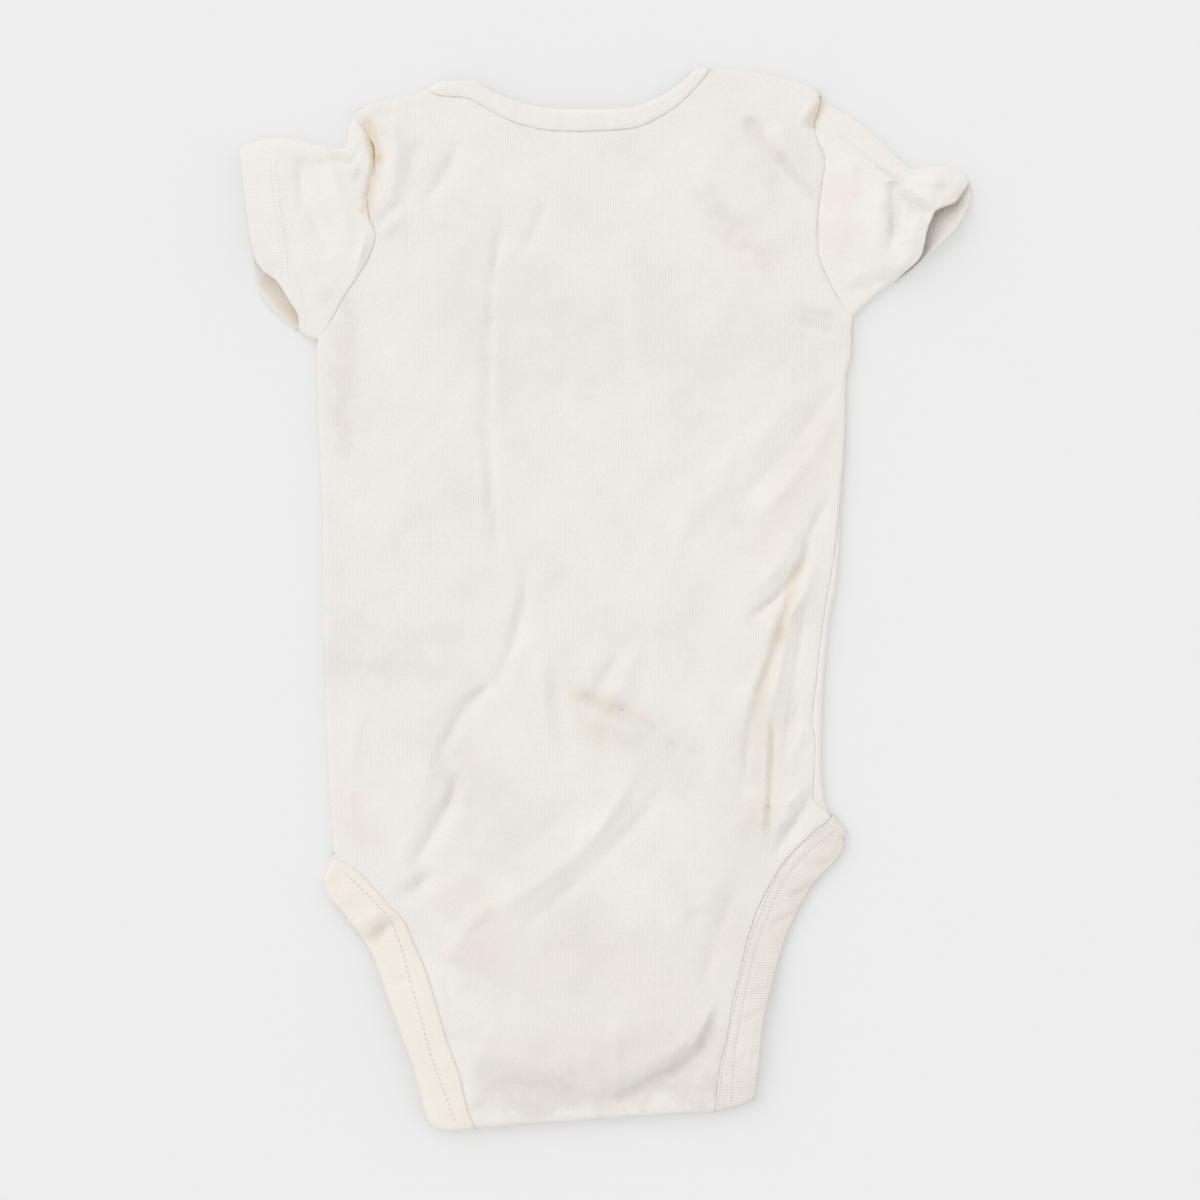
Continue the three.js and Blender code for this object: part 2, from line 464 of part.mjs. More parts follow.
// Front panel: it lies underneath and comes round the right side as far as the seam on top
function frontPanel() {
  const across = 20;
  const columnX = (share) => (y) => {
    const isSide = y > HIP_RIGHT && y < ARMPIT_RIGHT;
    return lerp(isSide ? rightEdge(y) - FOLD : frontRight(y) - FOLD, frontLeft(y), share);
  };
  const ends = (share) => {
    const x = columnX(share);
    return { x, low: crotchFold(x(-190)) + FRONT_FLAP_START, high: reachNeck(x, frontNeck) };
  };
  const first = ends(0);
  const shares = stations([
    { from: first.low, to: HIP_RIGHT, steps: 8 }, { from: HIP_RIGHT, to: HIP_RIGHT + 1, steps: 1 },
    { from: HIP_RIGHT + 1, to: ARMPIT_RIGHT - 1, steps: 12 },
    { from: ARMPIT_RIGHT - 1, to: ARMPIT_RIGHT, steps: 1 }, { from: ARMPIT_RIGHT, to: first.high, steps: 9 },
  ]).map((y) => (y - first.low) / (first.high - first.low));
  const columns = stations([{ from: 0, to: 1, steps: across }]).map(ends);
  return shares.map((part) => {
    const y = lerp(first.low, first.high, part);
    const isSide = y > HIP_RIGHT + 0.5 && y < ARMPIT_RIGHT - 0.5;
    const edge = rightEdge(y);
    const seam = backRight(y) + 2 * GAP;
    const onTop = [seam, (seam + edge - FOLD) / 2].map((x) => new THREE.Vector3(x, y, topHeight(x, y)));
    const turn = [...TURN].reverse().map((degrees) => {
      const angle = THREE.MathUtils.degToRad(degrees);
      const x = edge - FOLD + FOLD * Math.cos(angle);
      return new THREE.Vector3(x, y, FOLD + FOLD * Math.sin(angle));
    });
    const wrapped = [...onTop, ...turn];
    const laid = wrapped.map((_, k) => {
      const x = frontRight(y) - (FOLD * k) / wrapped.length;
      return new THREE.Vector3(x, y, frontHeight(y));
    });
    const under = columns.map((c) => {
      const columnY = lerp(c.low, c.high, part);
      return new THREE.Vector3(c.x(columnY), columnY, frontHeight(columnY));
    });
    return [...(isSide ? wrapped : laid), ...under];
  });
}

// Row of points across a band, from its seam line, less a gap, to its free edge
function bandRow(seam, edge, gap, place) {
  const toEdge = edge.clone().sub(seam);
  const start = seam.clone().addScaledVector(toEdge, gap / toEdge.length());
  return [0, 0.5, 1].map((share) => {
    const at = start.clone().lerp(edge, share);
    return place(at.x, at.y);
  });
}

function backNeckBinding() {
  const rows = [];
  BACK_NECK.slice(1).forEach((next, i) => {
    const row = BACK_NECK[i];
    const steps = 2;
    for (let k = i === 0 ? 0 : 1; k <= steps; k++) {
      const part = k / steps;
      const seam = new THREE.Vector2(lerp(row.x, next.x, part), lerp(row.y, next.y, part));
      const edge = new THREE.Vector2(lerp(row.edgeX, next.edgeX, part), lerp(row.edgeY, next.edgeY, part));
      rows.push(bandRow(seam, edge, NECK_DITCH, (x, y) => wrapBack(x, y, 0)).reverse());
    }
  });
  return rows;
}

// The front's binding follows its neck curve between the shoulder points
function frontNeckBinding() {
  const steps = 22;
  const [from, to] = SHOULDER_POINTS;
  const line = FRONT_NECK.filter((row) => row.x > from && row.x < to);
  const curve = [{ x: from, y: frontNeck(from) }, ...line, { x: to, y: frontNeck(to) }];
  const rows = [];
  for (let i = 0; i <= steps; i++) {
    const share = i / steps;
    const seam = along(curve, share);
    const tangent = along(curve, Math.min(1, share + 0.02)).sub(along(curve, Math.max(0, share - 0.02)));
    const away = new THREE.Vector2(-tangent.y, tangent.x).normalize();
    const edge = seam.clone().addScaledVector(away, NECK_BAND);
    rows.push(bandRow(seam, edge, NECK_DITCH * 2, (x, y) => new THREE.Vector3(x, y, frontHeight(y))));
  }
  return rows;
}

// A leg binding runs along the back leg opening, round the hip and back along the front one
function legBinding(table, edgeX, hip, inward) {
  const fine = [];
  table.slice(1).forEach((next, i) => {
    const row = table[i];
    const steps = row.y < -185 ? 7 : 2;
    for (let k = i === 0 ? 0 : 1; k <= steps; k++) {
      const part = k / steps;
      fine.push({
        seam: new THREE.Vector2(edgeX(lerp(row.y, next.y, part)), lerp(row.y, next.y, part)),
        edge: new THREE.Vector2(lerp(row.edgeX, next.edgeX, part), lerp(row.edgeY, next.edgeY, part)),
      });
    }
  });
  const rows = fine.map(({ seam, edge }) => bandRow(seam, edge, GAP, (x, y) => wrapBack(x, y, 0)));
  const last = fine[fine.length - 1];
  const tangent = last.seam.clone().sub(fine[fine.length - 3].seam).normalize();
  for (const degrees of [45, 90, 135]) {
    const angle = THREE.MathUtils.degToRad(degrees);
    const out = FOLD * Math.sin(angle);
    const z = FOLD + FOLD * Math.cos(angle);
    const place = (x, y) => new THREE.Vector3(x + tangent.x * out, y + tangent.y * out, z);
    rows.push(bandRow(last.seam, last.edge, GAP, place));
  }
  for (const { seam, edge } of fine.reverse()) {
    if (seam.y < crotchFold(seam.x) + FRONT_FLAP_START) break;
    const shift = legInset(seam.y, hip) * inward;
    rows.push(bandRow(seam, edge, GAP, (x, y) => new THREE.Vector3(x + shift, y, frontHeight(y))));
  }
  return rows;
}

// Sleeve tube as it lies, from armhole to hem, its ring running over the top and back underneath
function sleeve(form, armhole, leftward) {
  const alongSteps = 9;
  const acrossSteps = 12;
  const rows = [];
  for (let i = 0; i <= alongSteps; i++) {
    const s = i / alongSteps;
    const upper = along(form.upper, s);
    const under = along(form.under, s);
    const plan = (hem) => (t) => {
      const start = along(armhole, t).lerp(along(hem, t), s);
      const [a0, a1] = [along(armhole, 0), along(hem, 0)];
      const [b0, b1] = [along(armhole, 1), along(hem, 1)];
      start.addScaledVector(upper.clone().sub(a0.lerp(a1, s)), 1 - t);
      return start.addScaledVector(under.clone().sub(b0.lerp(b1, s)), t);
    };
    const [top, bottom] = [plan(form.hemTop), plan(form.hemUnder)];
    const edge = FOLD / upper.distanceTo(under);
    const swell = (t) => {
      const profile = Math.sin(Math.PI * t) ** SWELL.sharpness;
      const middle = form.swell * Math.sin(Math.PI * (SWELL.start + SWELL.span * s));
      return profile * (middle + form.mouth * s ** 3);
    };
    const lay = (layer, t, z) => {
      const p = layer(t);
      return new THREE.Vector3(p.x, p.y, z);
    };
    const ring = [];
    for (let k = 0; k <= acrossSteps; k++) {
      const t = lerp(edge, 1 - edge, k / acrossSteps);
      ring.push(lay(top, t, EDGE_TOP + swell(t)));
    }
    const fold = (end) => [45, 0, -45].map((degrees) => {
      const angle = THREE.MathUtils.degToRad(degrees);
      const inward = edge * (1 - Math.cos(angle));
      const t = end === 0 ? inward : 1 - inward;
      const mix = (1 - Math.sin(angle)) / 2;
      const p = top(t).lerp(bottom(t), mix);
      return new THREE.Vector3(p.x, p.y, FOLD + FOLD * Math.sin(angle));
    });
    ring.push(...fold(1));
    for (let k = acrossSteps; k >= 0; k--) ring.push(lay(bottom, lerp(edge, 1 - edge, k / acrossSteps), 0));
    ring.push(...fold(0).reverse());
    rows.push(leftward ? ring.reverse() : ring);
  }
  return rows;
}

// Armhole from the shoulder to the armpit, set off from the body by the width of its ditch
function armhole(edge, low, high, outward, top) {
  const line = edge.filter((row) => row.y > low && row.y < high).reverse();
  return [top, ...line].map((row) => ({ x: row.x + outward * ARMHOLE_DITCH, y: row.y }));
}

function buildSnap(x, y) {
  const socketLow = FLAP_LIFT + CLOTH + GAP;
  return turned([
    [0, 0], [SNAP.cap, 0], [SNAP.cap, SNAP.capHeight], [SNAP.post, SNAP.capHeight],
    [SNAP.post, socketLow], [SNAP.socket, socketLow], [SNAP.socket, socketLow + SNAP.socketHeight],
    [0, socketLow + SNAP.socketHeight],
  ], x, y);
}

// A panel with a hole for each snap's post, from one height to another
function pierced(geometry, low, high) {
  const radius = SNAP.post + GAP;
  let solid = toManifold(geometry);
  for (const x of SNAP_PLACES) {
    const drill = turned([[0, low], [radius, low], [radius, high], [0, high]], x, SNAP_ROW.y);
    solid = solid.subtract(toManifold(closed(drill)));
  }
  return fromManifold(solid);
}

// Geometry with its shared vertices merged and only its positions kept
function closed(geometry) {
  geometry.deleteAttribute("normal");
  geometry.deleteAttribute("uv");
  return mergeVertices(geometry, 1e-4);
}

const garment = new THREE.Group();

function addPiece(name, geometry, finish) {
  const mesh = new THREE.Mesh(geometry, new THREE.MeshStandardMaterial(finish));
  mesh.name = name;
  garment.add(mesh);
}

const evenly = (wall) => () => wall;
const hemmed = (share) => (share > HEM_START ? HEM : CLOTH);
const reversed = (rows) => [...rows].reverse();

const leftArmhole = armhole(LEFT_EDGE, 98, 183, -1, { x: -96.8, y: 184.4 });
const rightArmhole = armhole(RIGHT_EDGE, 106, 181, 1, { x: 84.4, y: 191.6 });

const back = wallGeometry(backPanel(), evenly(CLOTH));
addPiece("back_panel", pierced(back, FLAP_LIFT - DRILL_PAST, FLAP_LIFT + CLOTH + DRILL_PAST), KNIT);
const front = wallGeometry(frontPanel(), evenly(CLOTH));
addPiece("front_panel", pierced(front, SNAP.capHeight, FRONT_FLAP_LIFT + CLOTH + DRILL_PAST), KNIT);
addPiece("left_sleeve", wallGeometry(sleeve(LEFT_SLEEVE, leftArmhole, true), hemmed, true), KNIT);
addPiece("right_sleeve", wallGeometry(sleeve(RIGHT_SLEEVE, rightArmhole, false), hemmed, true), KNIT);
addPiece("back_neck_binding", wallGeometry(backNeckBinding(), evenly(BAND)), KNIT);
addPiece("front_neck_binding", wallGeometry(frontNeckBinding(), evenly(BAND)), KNIT);
const leftBand = legBinding(LEFT_LEG_BAND, leftEdge, HIP_LEFT, 1);
addPiece("left_leg_binding", wallGeometry(reversed(leftBand), evenly(BAND)), PEACH_KNIT);
const rightBand = legBinding(RIGHT_LEG_BAND, rightEdge, HIP_RIGHT, -1);
addPiece("right_leg_binding", wallGeometry(rightBand, evenly(BAND)), KNIT);
["left", "middle", "right"].forEach((side, i) => {
  addPiece(`${side}_snap`, closed(buildSnap(SNAP_PLACES[i], SNAP_ROW.y)), SNAP_FINISH);
});

export default garment;
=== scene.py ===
# Infant's rib bodysuit lying on its front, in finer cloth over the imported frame.
# The tables are in millimetres: +X to the right of the picture, +Y towards the neck, +Z up.
from typing import NamedTuple

import bmesh
import bpy
import numpy as np
from bpy.props import FloatProperty, FloatVectorProperty, IntProperty, PointerProperty
from mathutils import Matrix, Vector


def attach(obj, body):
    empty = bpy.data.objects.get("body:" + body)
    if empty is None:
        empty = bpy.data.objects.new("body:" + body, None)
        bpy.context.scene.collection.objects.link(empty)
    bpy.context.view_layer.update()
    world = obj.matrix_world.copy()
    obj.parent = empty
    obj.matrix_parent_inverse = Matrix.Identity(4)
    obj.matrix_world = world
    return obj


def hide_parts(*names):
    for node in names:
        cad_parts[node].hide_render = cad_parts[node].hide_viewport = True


bl_info = {
    "name": "Infant bodysuit",
    "version": (1, 0, 0),
    "blender": (4, 5, 0),
    "location": "View3D > Sidebar > Bodysuit",
    "description": "Builds a laid out rib bodysuit piece by piece",
    "category": "Add Mesh",
}

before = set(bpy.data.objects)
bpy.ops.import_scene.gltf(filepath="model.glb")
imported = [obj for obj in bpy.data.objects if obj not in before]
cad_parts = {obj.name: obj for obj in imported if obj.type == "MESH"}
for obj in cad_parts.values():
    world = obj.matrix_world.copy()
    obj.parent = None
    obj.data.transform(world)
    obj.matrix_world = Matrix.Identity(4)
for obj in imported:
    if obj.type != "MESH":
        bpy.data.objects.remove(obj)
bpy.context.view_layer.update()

MM = 0.001
WELD = 1e-6  # points closer than this are one
BODY = "root"

# Sizes shared with the part
GAP = 0.3  # between pieces that are sewn together
FOLD = 2.2  # outer radius of a folded edge
EDGE_TOP = 2 * FOLD
FLAP_LIFT = 2.7  # underside of the back crotch flap
FRONT_FLAP_LIFT = 1.2  # underside of the front crotch flap
FLAP_LENGTH = 22  # of the back crotch flap beyond its fold
LAP_LIFT = 1.5  # the front panel lies over the shoulder laps
CROTCH_TOP = FLAP_LIFT + EDGE_TOP
HIP_LEFT, ARMPIT_LEFT = -97, 99
HIP_RIGHT, ARMPIT_RIGHT = -83, 106
LAP_LEAST, LAP_END = 6, 1.5  # below the neck seam the shoulder fold begins, and is complete, by then
FRONT_FLAP_START = 4  # the front ends this far short of the crotch fold
FRONT_LEG_INSET, INSET_REACH = 3, 30  # how much deeper the front leg openings are cut, and from where
NECK_BAND = 8.5  # width of the front neck binding
SHOULDER_POINTS = (-72.5, 53.5)  # between them the front neck is open

# The upper face dips no lower than this, and than this much more over the laps and over the flaps
CLEAR_LEAST, CLEAR_LAPS, CLEAR_FLAPS = 2.4, 1.4, 3.6

# Distances from the garment's middle over which the cloth passes from one level to the next
OVER_FLAPS, OVER_LAPS = (128, 160), (112, 136)
FRONT_OVER_LAPS, FRONT_OVER_CAPS = (124, 144), (158, 172)

# Heights at which the folds are looked up, and heights between which cloth counts as the top layer
NEAR_CROTCH, NEAR_FRONT_END, NEAR_FLAP_END, NEAR_SHOULDER = -198.0, -190.0, -192.0, 190.0
ON_TOP = (3, 4)


def row_kind(name, *columns):
    """Kind of table row with these columns."""
    return NamedTuple(name, [(column, float) for column in columns])


EdgeRow = row_kind("EdgeRow", "y", "x")
LineRow = row_kind("LineRow", "x", "y")
NeckRow = row_kind("NeckRow", "x", "y", "edge_x", "edge_y")
BandRow = row_kind("BandRow", "y", "edge_x", "edge_y")
Station = row_kind("Station", "share", "x", "y")


class Fold(NamedTuple):
    """Soft ridge, or a trough where its height is below 0: start, a point on the way, end."""
    x0: float
    y0: float
    x1: float
    y1: float
    x2: float
    y2: float
    height: float
    width: float
    lean: float = 0


class Streak(NamedTuple):
    """Soft stain or shade along a line: its half width, how strong it is and what it multiplies."""
    x0: float
    y0: float
    x1: float
    y1: float
    width: float
    amount: float
    tint: tuple


class Wave(NamedTuple):
    """Broad unevenness of the cloth: crests per metre along x and y, height and phase."""
    per_x: float
    per_y: float
    height: float
    phase: float


def rows(kind, values):
    """Table of named rows."""
    return [kind(*value) for value in values]


# Left edge of the back as it lies, from the end of the crotch flap to the tip of the shoulder lap
LEFT_EDGE = rows(EdgeRow, [
    (-232, -42), (-214, -46.5), (-200.3, -49.4), (-193, -52.2), (-179.7, -55.3), (-168.3, -59.5),
    (-153.7, -64), (-142.1, -67.5), (-131.1, -72.4), (-122.4, -76.2), (-115, -83), (-108.7, -88.5),
    (-102.2, -95.2), (-97.3, -103), (-91, -103.5), (-60.8, -105.3), (-15, -106.8), (38, -107.5),
    (70, -109.2), (98.4, -109.6), (106.8, -104.1), (115.1, -99.4), (123.1, -94), (130.7, -89.7),
    (138.3, -87.4), (146.3, -90.2), (152, -90.6), (161.5, -87.2), (171, -87.2), (178.6, -91.4),
    (184.5, -96), (192, -90), (200, -86), (240, -86),
])

# Right edge as it lies
RIGHT_EDGE = rows(EdgeRow, [
    (-232, 34), (-214, 38.5), (-194.6, 41.5), (-176.7, 43.7), (-166.4, 46.2), (-153.9, 48.3),
    (-144.2, 50.7), (-129.8, 54.1), (-117.8, 58), (-108.3, 62.7), (-99.4, 68.2), (-93.1, 73.9),
    (-86.6, 81.1), (-82.1, 86.3), (-76, 84), (-60, 82.8), (-38, 83.4), (-9.5, 85.7), (7.6, 88.7),
    (38, 90.6), (64.6, 92.2), (83.6, 92.4), (95, 94.8), (106.8, 94.4), (114.8, 89.1), (121.2, 85.7),
    (132.2, 81.7), (143.3, 81.5), (155, 82.6), (166.8, 84.2), (175.2, 81.1), (180.1, 79.6), (189, 82),
    (197, 80), (205, 78), (240, 78),
])

# Right side seam, which has rolled on top
SIDE_SEAM = rows(EdgeRow, [
    (-86, 82), (-80, 82), (-75.6, 79.2), (-67.3, 79.6), (-55.5, 80.2), (-45.6, 78.9), (-34.2, 80.2),
    (-17.9, 81.9), (-1.5, 84.2), (11, 86.5), (23.2, 88), (35.7, 89.5), (110, 95),
])

# Lines over which the back wraps under at the shoulders and at the crotch
SHOULDER_FOLD = rows(LineRow, [
    (-110, 181), (-96, 184.8), (-91, 187.4), (-84.9, 189.8), (-76.2, 191.5), (-70.1, 193),
    (-65.9, 195.3), (-60.6, 197.6), (-53.8, 198.4), (-46, 199), (-36, 214), (20, 214), (28.7, 204),
    (34.4, 202.2), (43.9, 201.8), (56.4, 201.4), (66.7, 199.1), (78.5, 195.3), (83.4, 191.9),
    (96, 184),
])
CROTCH_FOLD = rows(LineRow, [
    (-70, -199), (-59.5, -201.4), (-49.2, -200.6), (-32, -199.3), (-1.7, -197.2), (32.5, -194.8),
    (41.2, -194.6), (50.7, -192.3), (66.7, -188.5),
])

# Neck seam of the back and the free edge of its binding, before they are folded under
BACK_NECK = rows(NeckRow, [
    (-86, 221.9, -78.9, 226.5), (-80.4, 213.2, -73.2, 217.7), (-76.2, 206, -69, 210.5),
    (-72, 199.9, -65.2, 204.6), (-67.8, 195, -62.1, 201), (-62.5, 192, -59.5, 198.6),
    (-52.6, 191.1, -50.7, 198), (-46.9, 188.5, -44.3, 194.4), (-39.3, 184.3, -37, 191.1),
    (-31.3, 180.9, -29.8, 188.7), (-19.2, 178.6, -18.4, 186.8), (-8.2, 178.4, -8.2, 186.7),
    (3.2, 178.9, 2.5, 186.8), (11.2, 179.7, 9.3, 187.2), (18.8, 182.8, 15.4, 189.1),
    (26.8, 187.7, 22.8, 192.5), (32.9, 193.4, 28.7, 196.3), (37.4, 198.4, 33.5, 201.2),
    (41, 204.5, 36, 209), (46, 211, 40.5, 216.2), (51.5, 216.2, 47.5, 222.8), (61, 220.4, 58, 227.3),
    (70.5, 224.2, 68.5, 231.6), (78, 227.2, 75.8, 234.5),
])

# Neck seam of the front, with its shoulder points just inside the folds
FRONT_NECK = rows(LineRow, [
    (-110, 176), (-96, 180), (-88, 184.5), (-74, 188), (-69, 178), (-61, 164), (-49, 152),
    (-30, 143.5), (-8, 140.2), (14, 142.5), (32, 150.5), (45, 163), (52, 178), (57, 196), (79, 190),
    (96, 178),
])

# Leg bindings from the crotch flap to the hip: height of the seam point, and the free edge
LEFT_LEG_BAND = rows(BandRow, [
    (-230, -53, -230), (-214, -59.5, -214), (-200.3, -66, -200.3), (-194.6, -68, -195),
    (-182, -71.2, -182.4), (-169.1, -75.4, -169.9), (-153.7, -80.7, -155.4), (-140.6, -85.7, -141.7),
    (-131.9, -88.7, -134.1), (-121.5, -94, -126.5), (-115, -97.9, -121.2), (-107, -102.4, -116),
    (-102.5, -105.2, -112.3), (-99, -106.3, -108.6),
])
RIGHT_LEG_BAND = rows(BandRow, [
    (-230, 44, -230), (-214, 50, -214), (-194.6, 56.4, -192.8), (-176.3, 58.5, -178.6),
    (-162.6, 60.2, -161.1), (-146.7, 63.7, -146.7), (-131.5, 68.2, -130.7), (-115.5, 74.7, -115.9),
    (-101.8, 82.7, -104.5), (-93.1, 89, -98), (-88.5, 91, -94), (-86.5, 91.2, -91.5),
    (-83.1, 91.7, -90.6),
])

# Sleeve outlines: upper and under run from the armhole to the hem, hems from the top to the underarm
LEFT_UPPER = rows(LineRow, [
    (-97.7, 184.4), (-99.4, 178.2), (-100.2, 172), (-103.2, 171.8), (-109.6, 173.3), (-122.9, 175.6),
    (-135.8, 173.7), (-138.9, 171.4),
])
LEFT_UNDER = rows(LineRow, [
    (-110.5, 98.4), (-113.4, 99.6), (-115.9, 101.8),
])
LEFT_HEM_TOP = rows(LineRow, [
    (-138.9, 171.4), (-137.8, 162.6), (-135.5, 144.4), (-133.2, 131), (-129.8, 125.2), (-124.5, 121.2),
    (-119.8, 113.8), (-116.2, 107), (-115.9, 101.8),
])
LEFT_HEM_UNDER = rows(LineRow, [
    (-138.9, 171.4), (-137.4, 153.9), (-134.7, 133.8), (-131.3, 117), (-124.1, 107.9), (-115.9, 101.8),
])
RIGHT_UPPER = rows(LineRow, [
    (85.3, 191.6), (90.2, 187.3), (96.3, 183.5), (106.6, 174.8), (115.3, 166.1), (118.4, 163.8),
    (128.2, 164.9), (137.4, 161.5), (138.9, 158.8),
])
RIGHT_UNDER = rows(LineRow, [
    (95.2, 106.2), (98.6, 110), (103.2, 114.8), (110.4, 121.2),
])
RIGHT_HEM_TOP = rows(LineRow, [
    (138.9, 158.8), (136.3, 155), (133.2, 150.9), (125.2, 147.2), (122.1, 139.8), (119.9, 130.4),
    (113.2, 123.7), (110.4, 121.2),
])
RIGHT_HEM_UNDER = rows(LineRow, [
    (138.9, 158.8), (139.3, 153.9), (134.1, 141.4), (125, 132.6), (117.2, 125.4), (110.4, 121.2),
])

# Creases of the back: start, a point on the way, end, height, half width, lean to one side
BODY_FOLDS = rows(Fold, [
    (-38.6, 143.6, -42, 125.4, -43.5, 102.6, -1.78, 2.6, 0.3),
    (-42.8, 114, -44.3, 64.6, -40.1, 9.5, -1.78, 3.2, 0.3),
    (-39.7, 136.8, -40.9, 83.6, -37.4, 15.2, 1.17, 4),
    (-22.2, 150.5, -26, 142.1, -29.8, 133, -1.48, 3, 0.2),
    (-29.4, 16.7, -33.6, -11.4, -42.8, -33.4, -1.92, 2.8, 0.4),
    (-26, 13.3, -29.1, -11.4, -37.4, -34.2, 0.44, 5),
    (-42, -31.9, -54.1, -42.6, -64.8, -63.8, -2.61, 3.2, 0.3),
    (-56.8, -65.4, -60.2, -78.3, -72.8, -101.1, -3.14, 3.2, 0.3),
    (-64, -101.8, -72.4, -109.4, -82.3, -115.1, -2.48, 3.4, 0.2),
    (21.1, -181.6, 10.4, -187.7, -3.2, -192.3, -2.61, 4.2, 0.2),
    (63.6, -44.1, 62.9, -66.9, 60.6, -92, -1.78, 1.8, 0.2),
    (-62.5, -64.6, -67.1, -80.6, -77, -95, 0.44, 4),
    (-51.1, -60.8, -54.1, -78.3, -65.5, -101.1, 0.54, 4),
    (-22.2, -15.2, -22.6, -34.2, -18.4, -60.8, 1.17, 4.5, -0.2),
    (-18.4, -19, -18.1, -38, -13.9, -59.3, -0.82, 4),
    (6.7, -15.2, 0.6, -28.9, -6.3, -37.2, -1.63, 3.6, 0.2),
    (13.5, -13.7, 8.9, -27.4, 6.7, -35.7, 1.17, 4),
    (-9.3, -36.9, 2.9, -40.3, 15.8, -45.6, -3.01, 3.2, 0.3),
    (-7.8, -44.1, 2.1, -47.9, 13.5, -52.4, 1.17, 4),
    (13.5, -44.1, 21.1, -50.2, 29.4, -57, -1.78, 2.8, 0.2),
    (27.2, -54, 33.2, -57.8, 40.9, -59.3, -1, 4),
    (13.5, -57.8, -6.3, -92, -42.8, -117.8, 2.07, 4.4, -0.2),
    (-39.7, -114, -51.1, -123.9, -60.2, -137.6, 1.48, 3.8),
    (24.1, -69.2, 2.9, -94.2, -32.1, -125.4, -1.63, 3.8),
    (-1.7, -64.6, -20.7, -87.4, -51.1, -110.2, -0.64, 6),
    (41.6, -155.8, 36.3, -174, 12, -184.7, -4.89, 4, 0.3),
    (36.3, -154.3, 28.7, -168.7, 2.1, -180.1, 2.07, 5),
    (-51.9, -178.6, -35.9, -185.4, -1.7, -189.2, -2.61, 4.6, 0.2),
    (-48.8, -169.5, -32.1, -175.6, -11.6, -178.6, 1.63, 5.5),
    (41.2, -152, 37.8, -161.1, 32.5, -169.5, 1.92, 2.8, 0.3),
    (42.4, -155.8, 40.9, -163.4, 37.8, -171, -1.78, 2.4),
    (3.6, -159.6, 4.8, -169.5, 5.9, -180.1, 1, 3.4),
    (-4.8, -165.7, -5.5, -173.3, -3.2, -180.1, 0.82, 3.4),
    (91.8, 76, 74.3, 49.4, 52.2, 26.6, 1.33, 4.4, 0.2),
    (88.7, 82.1, 69, 56.2, 47.7, 33.4, -1.17, 4.6),
    (74.3, 77.5, 62.9, 64.6, 50.7, 49.4, 1, 5),
    (76.6, 24.3, 72, 9.1, 54.1, -7.6, -3.01, 2.4, 0.4),
    (78.8, 15.2, 74.3, 0, 60.6, -15.2, 1.63, 3.4),
    (72.8, 26.6, 65.9, 12.9, 51.5, 0, 1.33, 4.2),
    (88.7, 46.4, 82.7, 33.4, 75, 20.5, -1.78, 2.6, 0.2),
    (70.9, 6.1, 65.2, -16, 56.8, -38, -1.63, 2.2, 0.5),
    (58.3, -34.2, 54.5, -53.2, 52.2, -76, -1.48, 2.4, 0.3),
    (65.9, 0, 59.9, -22.8, 52.2, -45.6, 1.48, 4),
    (73.2, 7.6, 67.5, -21.3, 61.4, -47.9, 1.48, 2.6),
    (62.9, -44.1, 61.4, -68.4, 60.6, -93.5, 1.63, 3.2, 0.2),
    (76.6, 0, 72, -30.4, 68.2, -60.8, -1.17, 2.6, 0.2),
    (74.7, -34.2, 72.8, -44.1, 72.4, -54.7, -1.33, 2.4),
    (76.6, -45.6, 74.3, -53.2, 70.5, -59.3, 1, 2.4),
    (36.3, 49.4, 27.2, 17.1, 16.5, -15.2, 0.82, 6),
    (56, 76.8, 46.9, 53.2, 36.3, 30.4, 0.82, 6),
    (54.5, 182.4, 62.1, 169.5, 77.3, 151.2, -2.74, 4.4, 0.2),
    (62.9, 181.6, 70.5, 171, 80.4, 158.8, 1, 4),
    (36.3, 153.5, 48.5, 141.4, 59.9, 128.4, -1.63, 7),
    (92.5, 85.1, 88.7, 80.6, 84.2, 75.2, -2.2, 2.2),
    (-79.2, 187, -80, 163.4, -82.3, 139.8, 1.63, 4.5),
    (-70.1, 174.8, -73.2, 163.4, -76.2, 149, -1.63, 4),
    (-54.9, 174, -61, 161.1, -69.3, 149.7, -1.78, 3.6, 0.2),
    (-84.5, 183.2, -81.1, 167.2, -86.1, 150.1, 1.78, 3.4),
    (-92.9, -38, -96, -64.6, -99, -89.7, 1, 6),
    (-100.5, 15.2, -88.3, -3.8, -70.1, -19, -0.82, 7),
    (-96, 49.4, -92.9, 38, -88.3, 26.6, 0.64, 4),
    (5.9, 129.2, 13.5, 102.6, 17.3, 68.4, 0.82, 8),
    (-16.9, 114, -14.6, 91.2, -16.9, 68.4, -0.64, 5),
    (-1.7, 171, 13.5, 163.4, 32.5, 167.2, -0.73, 6),
    (-16.9, -121.6, -5.5, -136.8, 13.5, -146.3, 0.82, 7),
    (31, -111, 32.5, -119.3, 36.3, -125.4, -1, 2.6),
    (51.5, -106.4, 42.4, -129.2, 37.8, -148.2, -1.17, 5),
    (-67.1, -136, -61, -145.9, -58, -155.8, -1.92, 3),
])

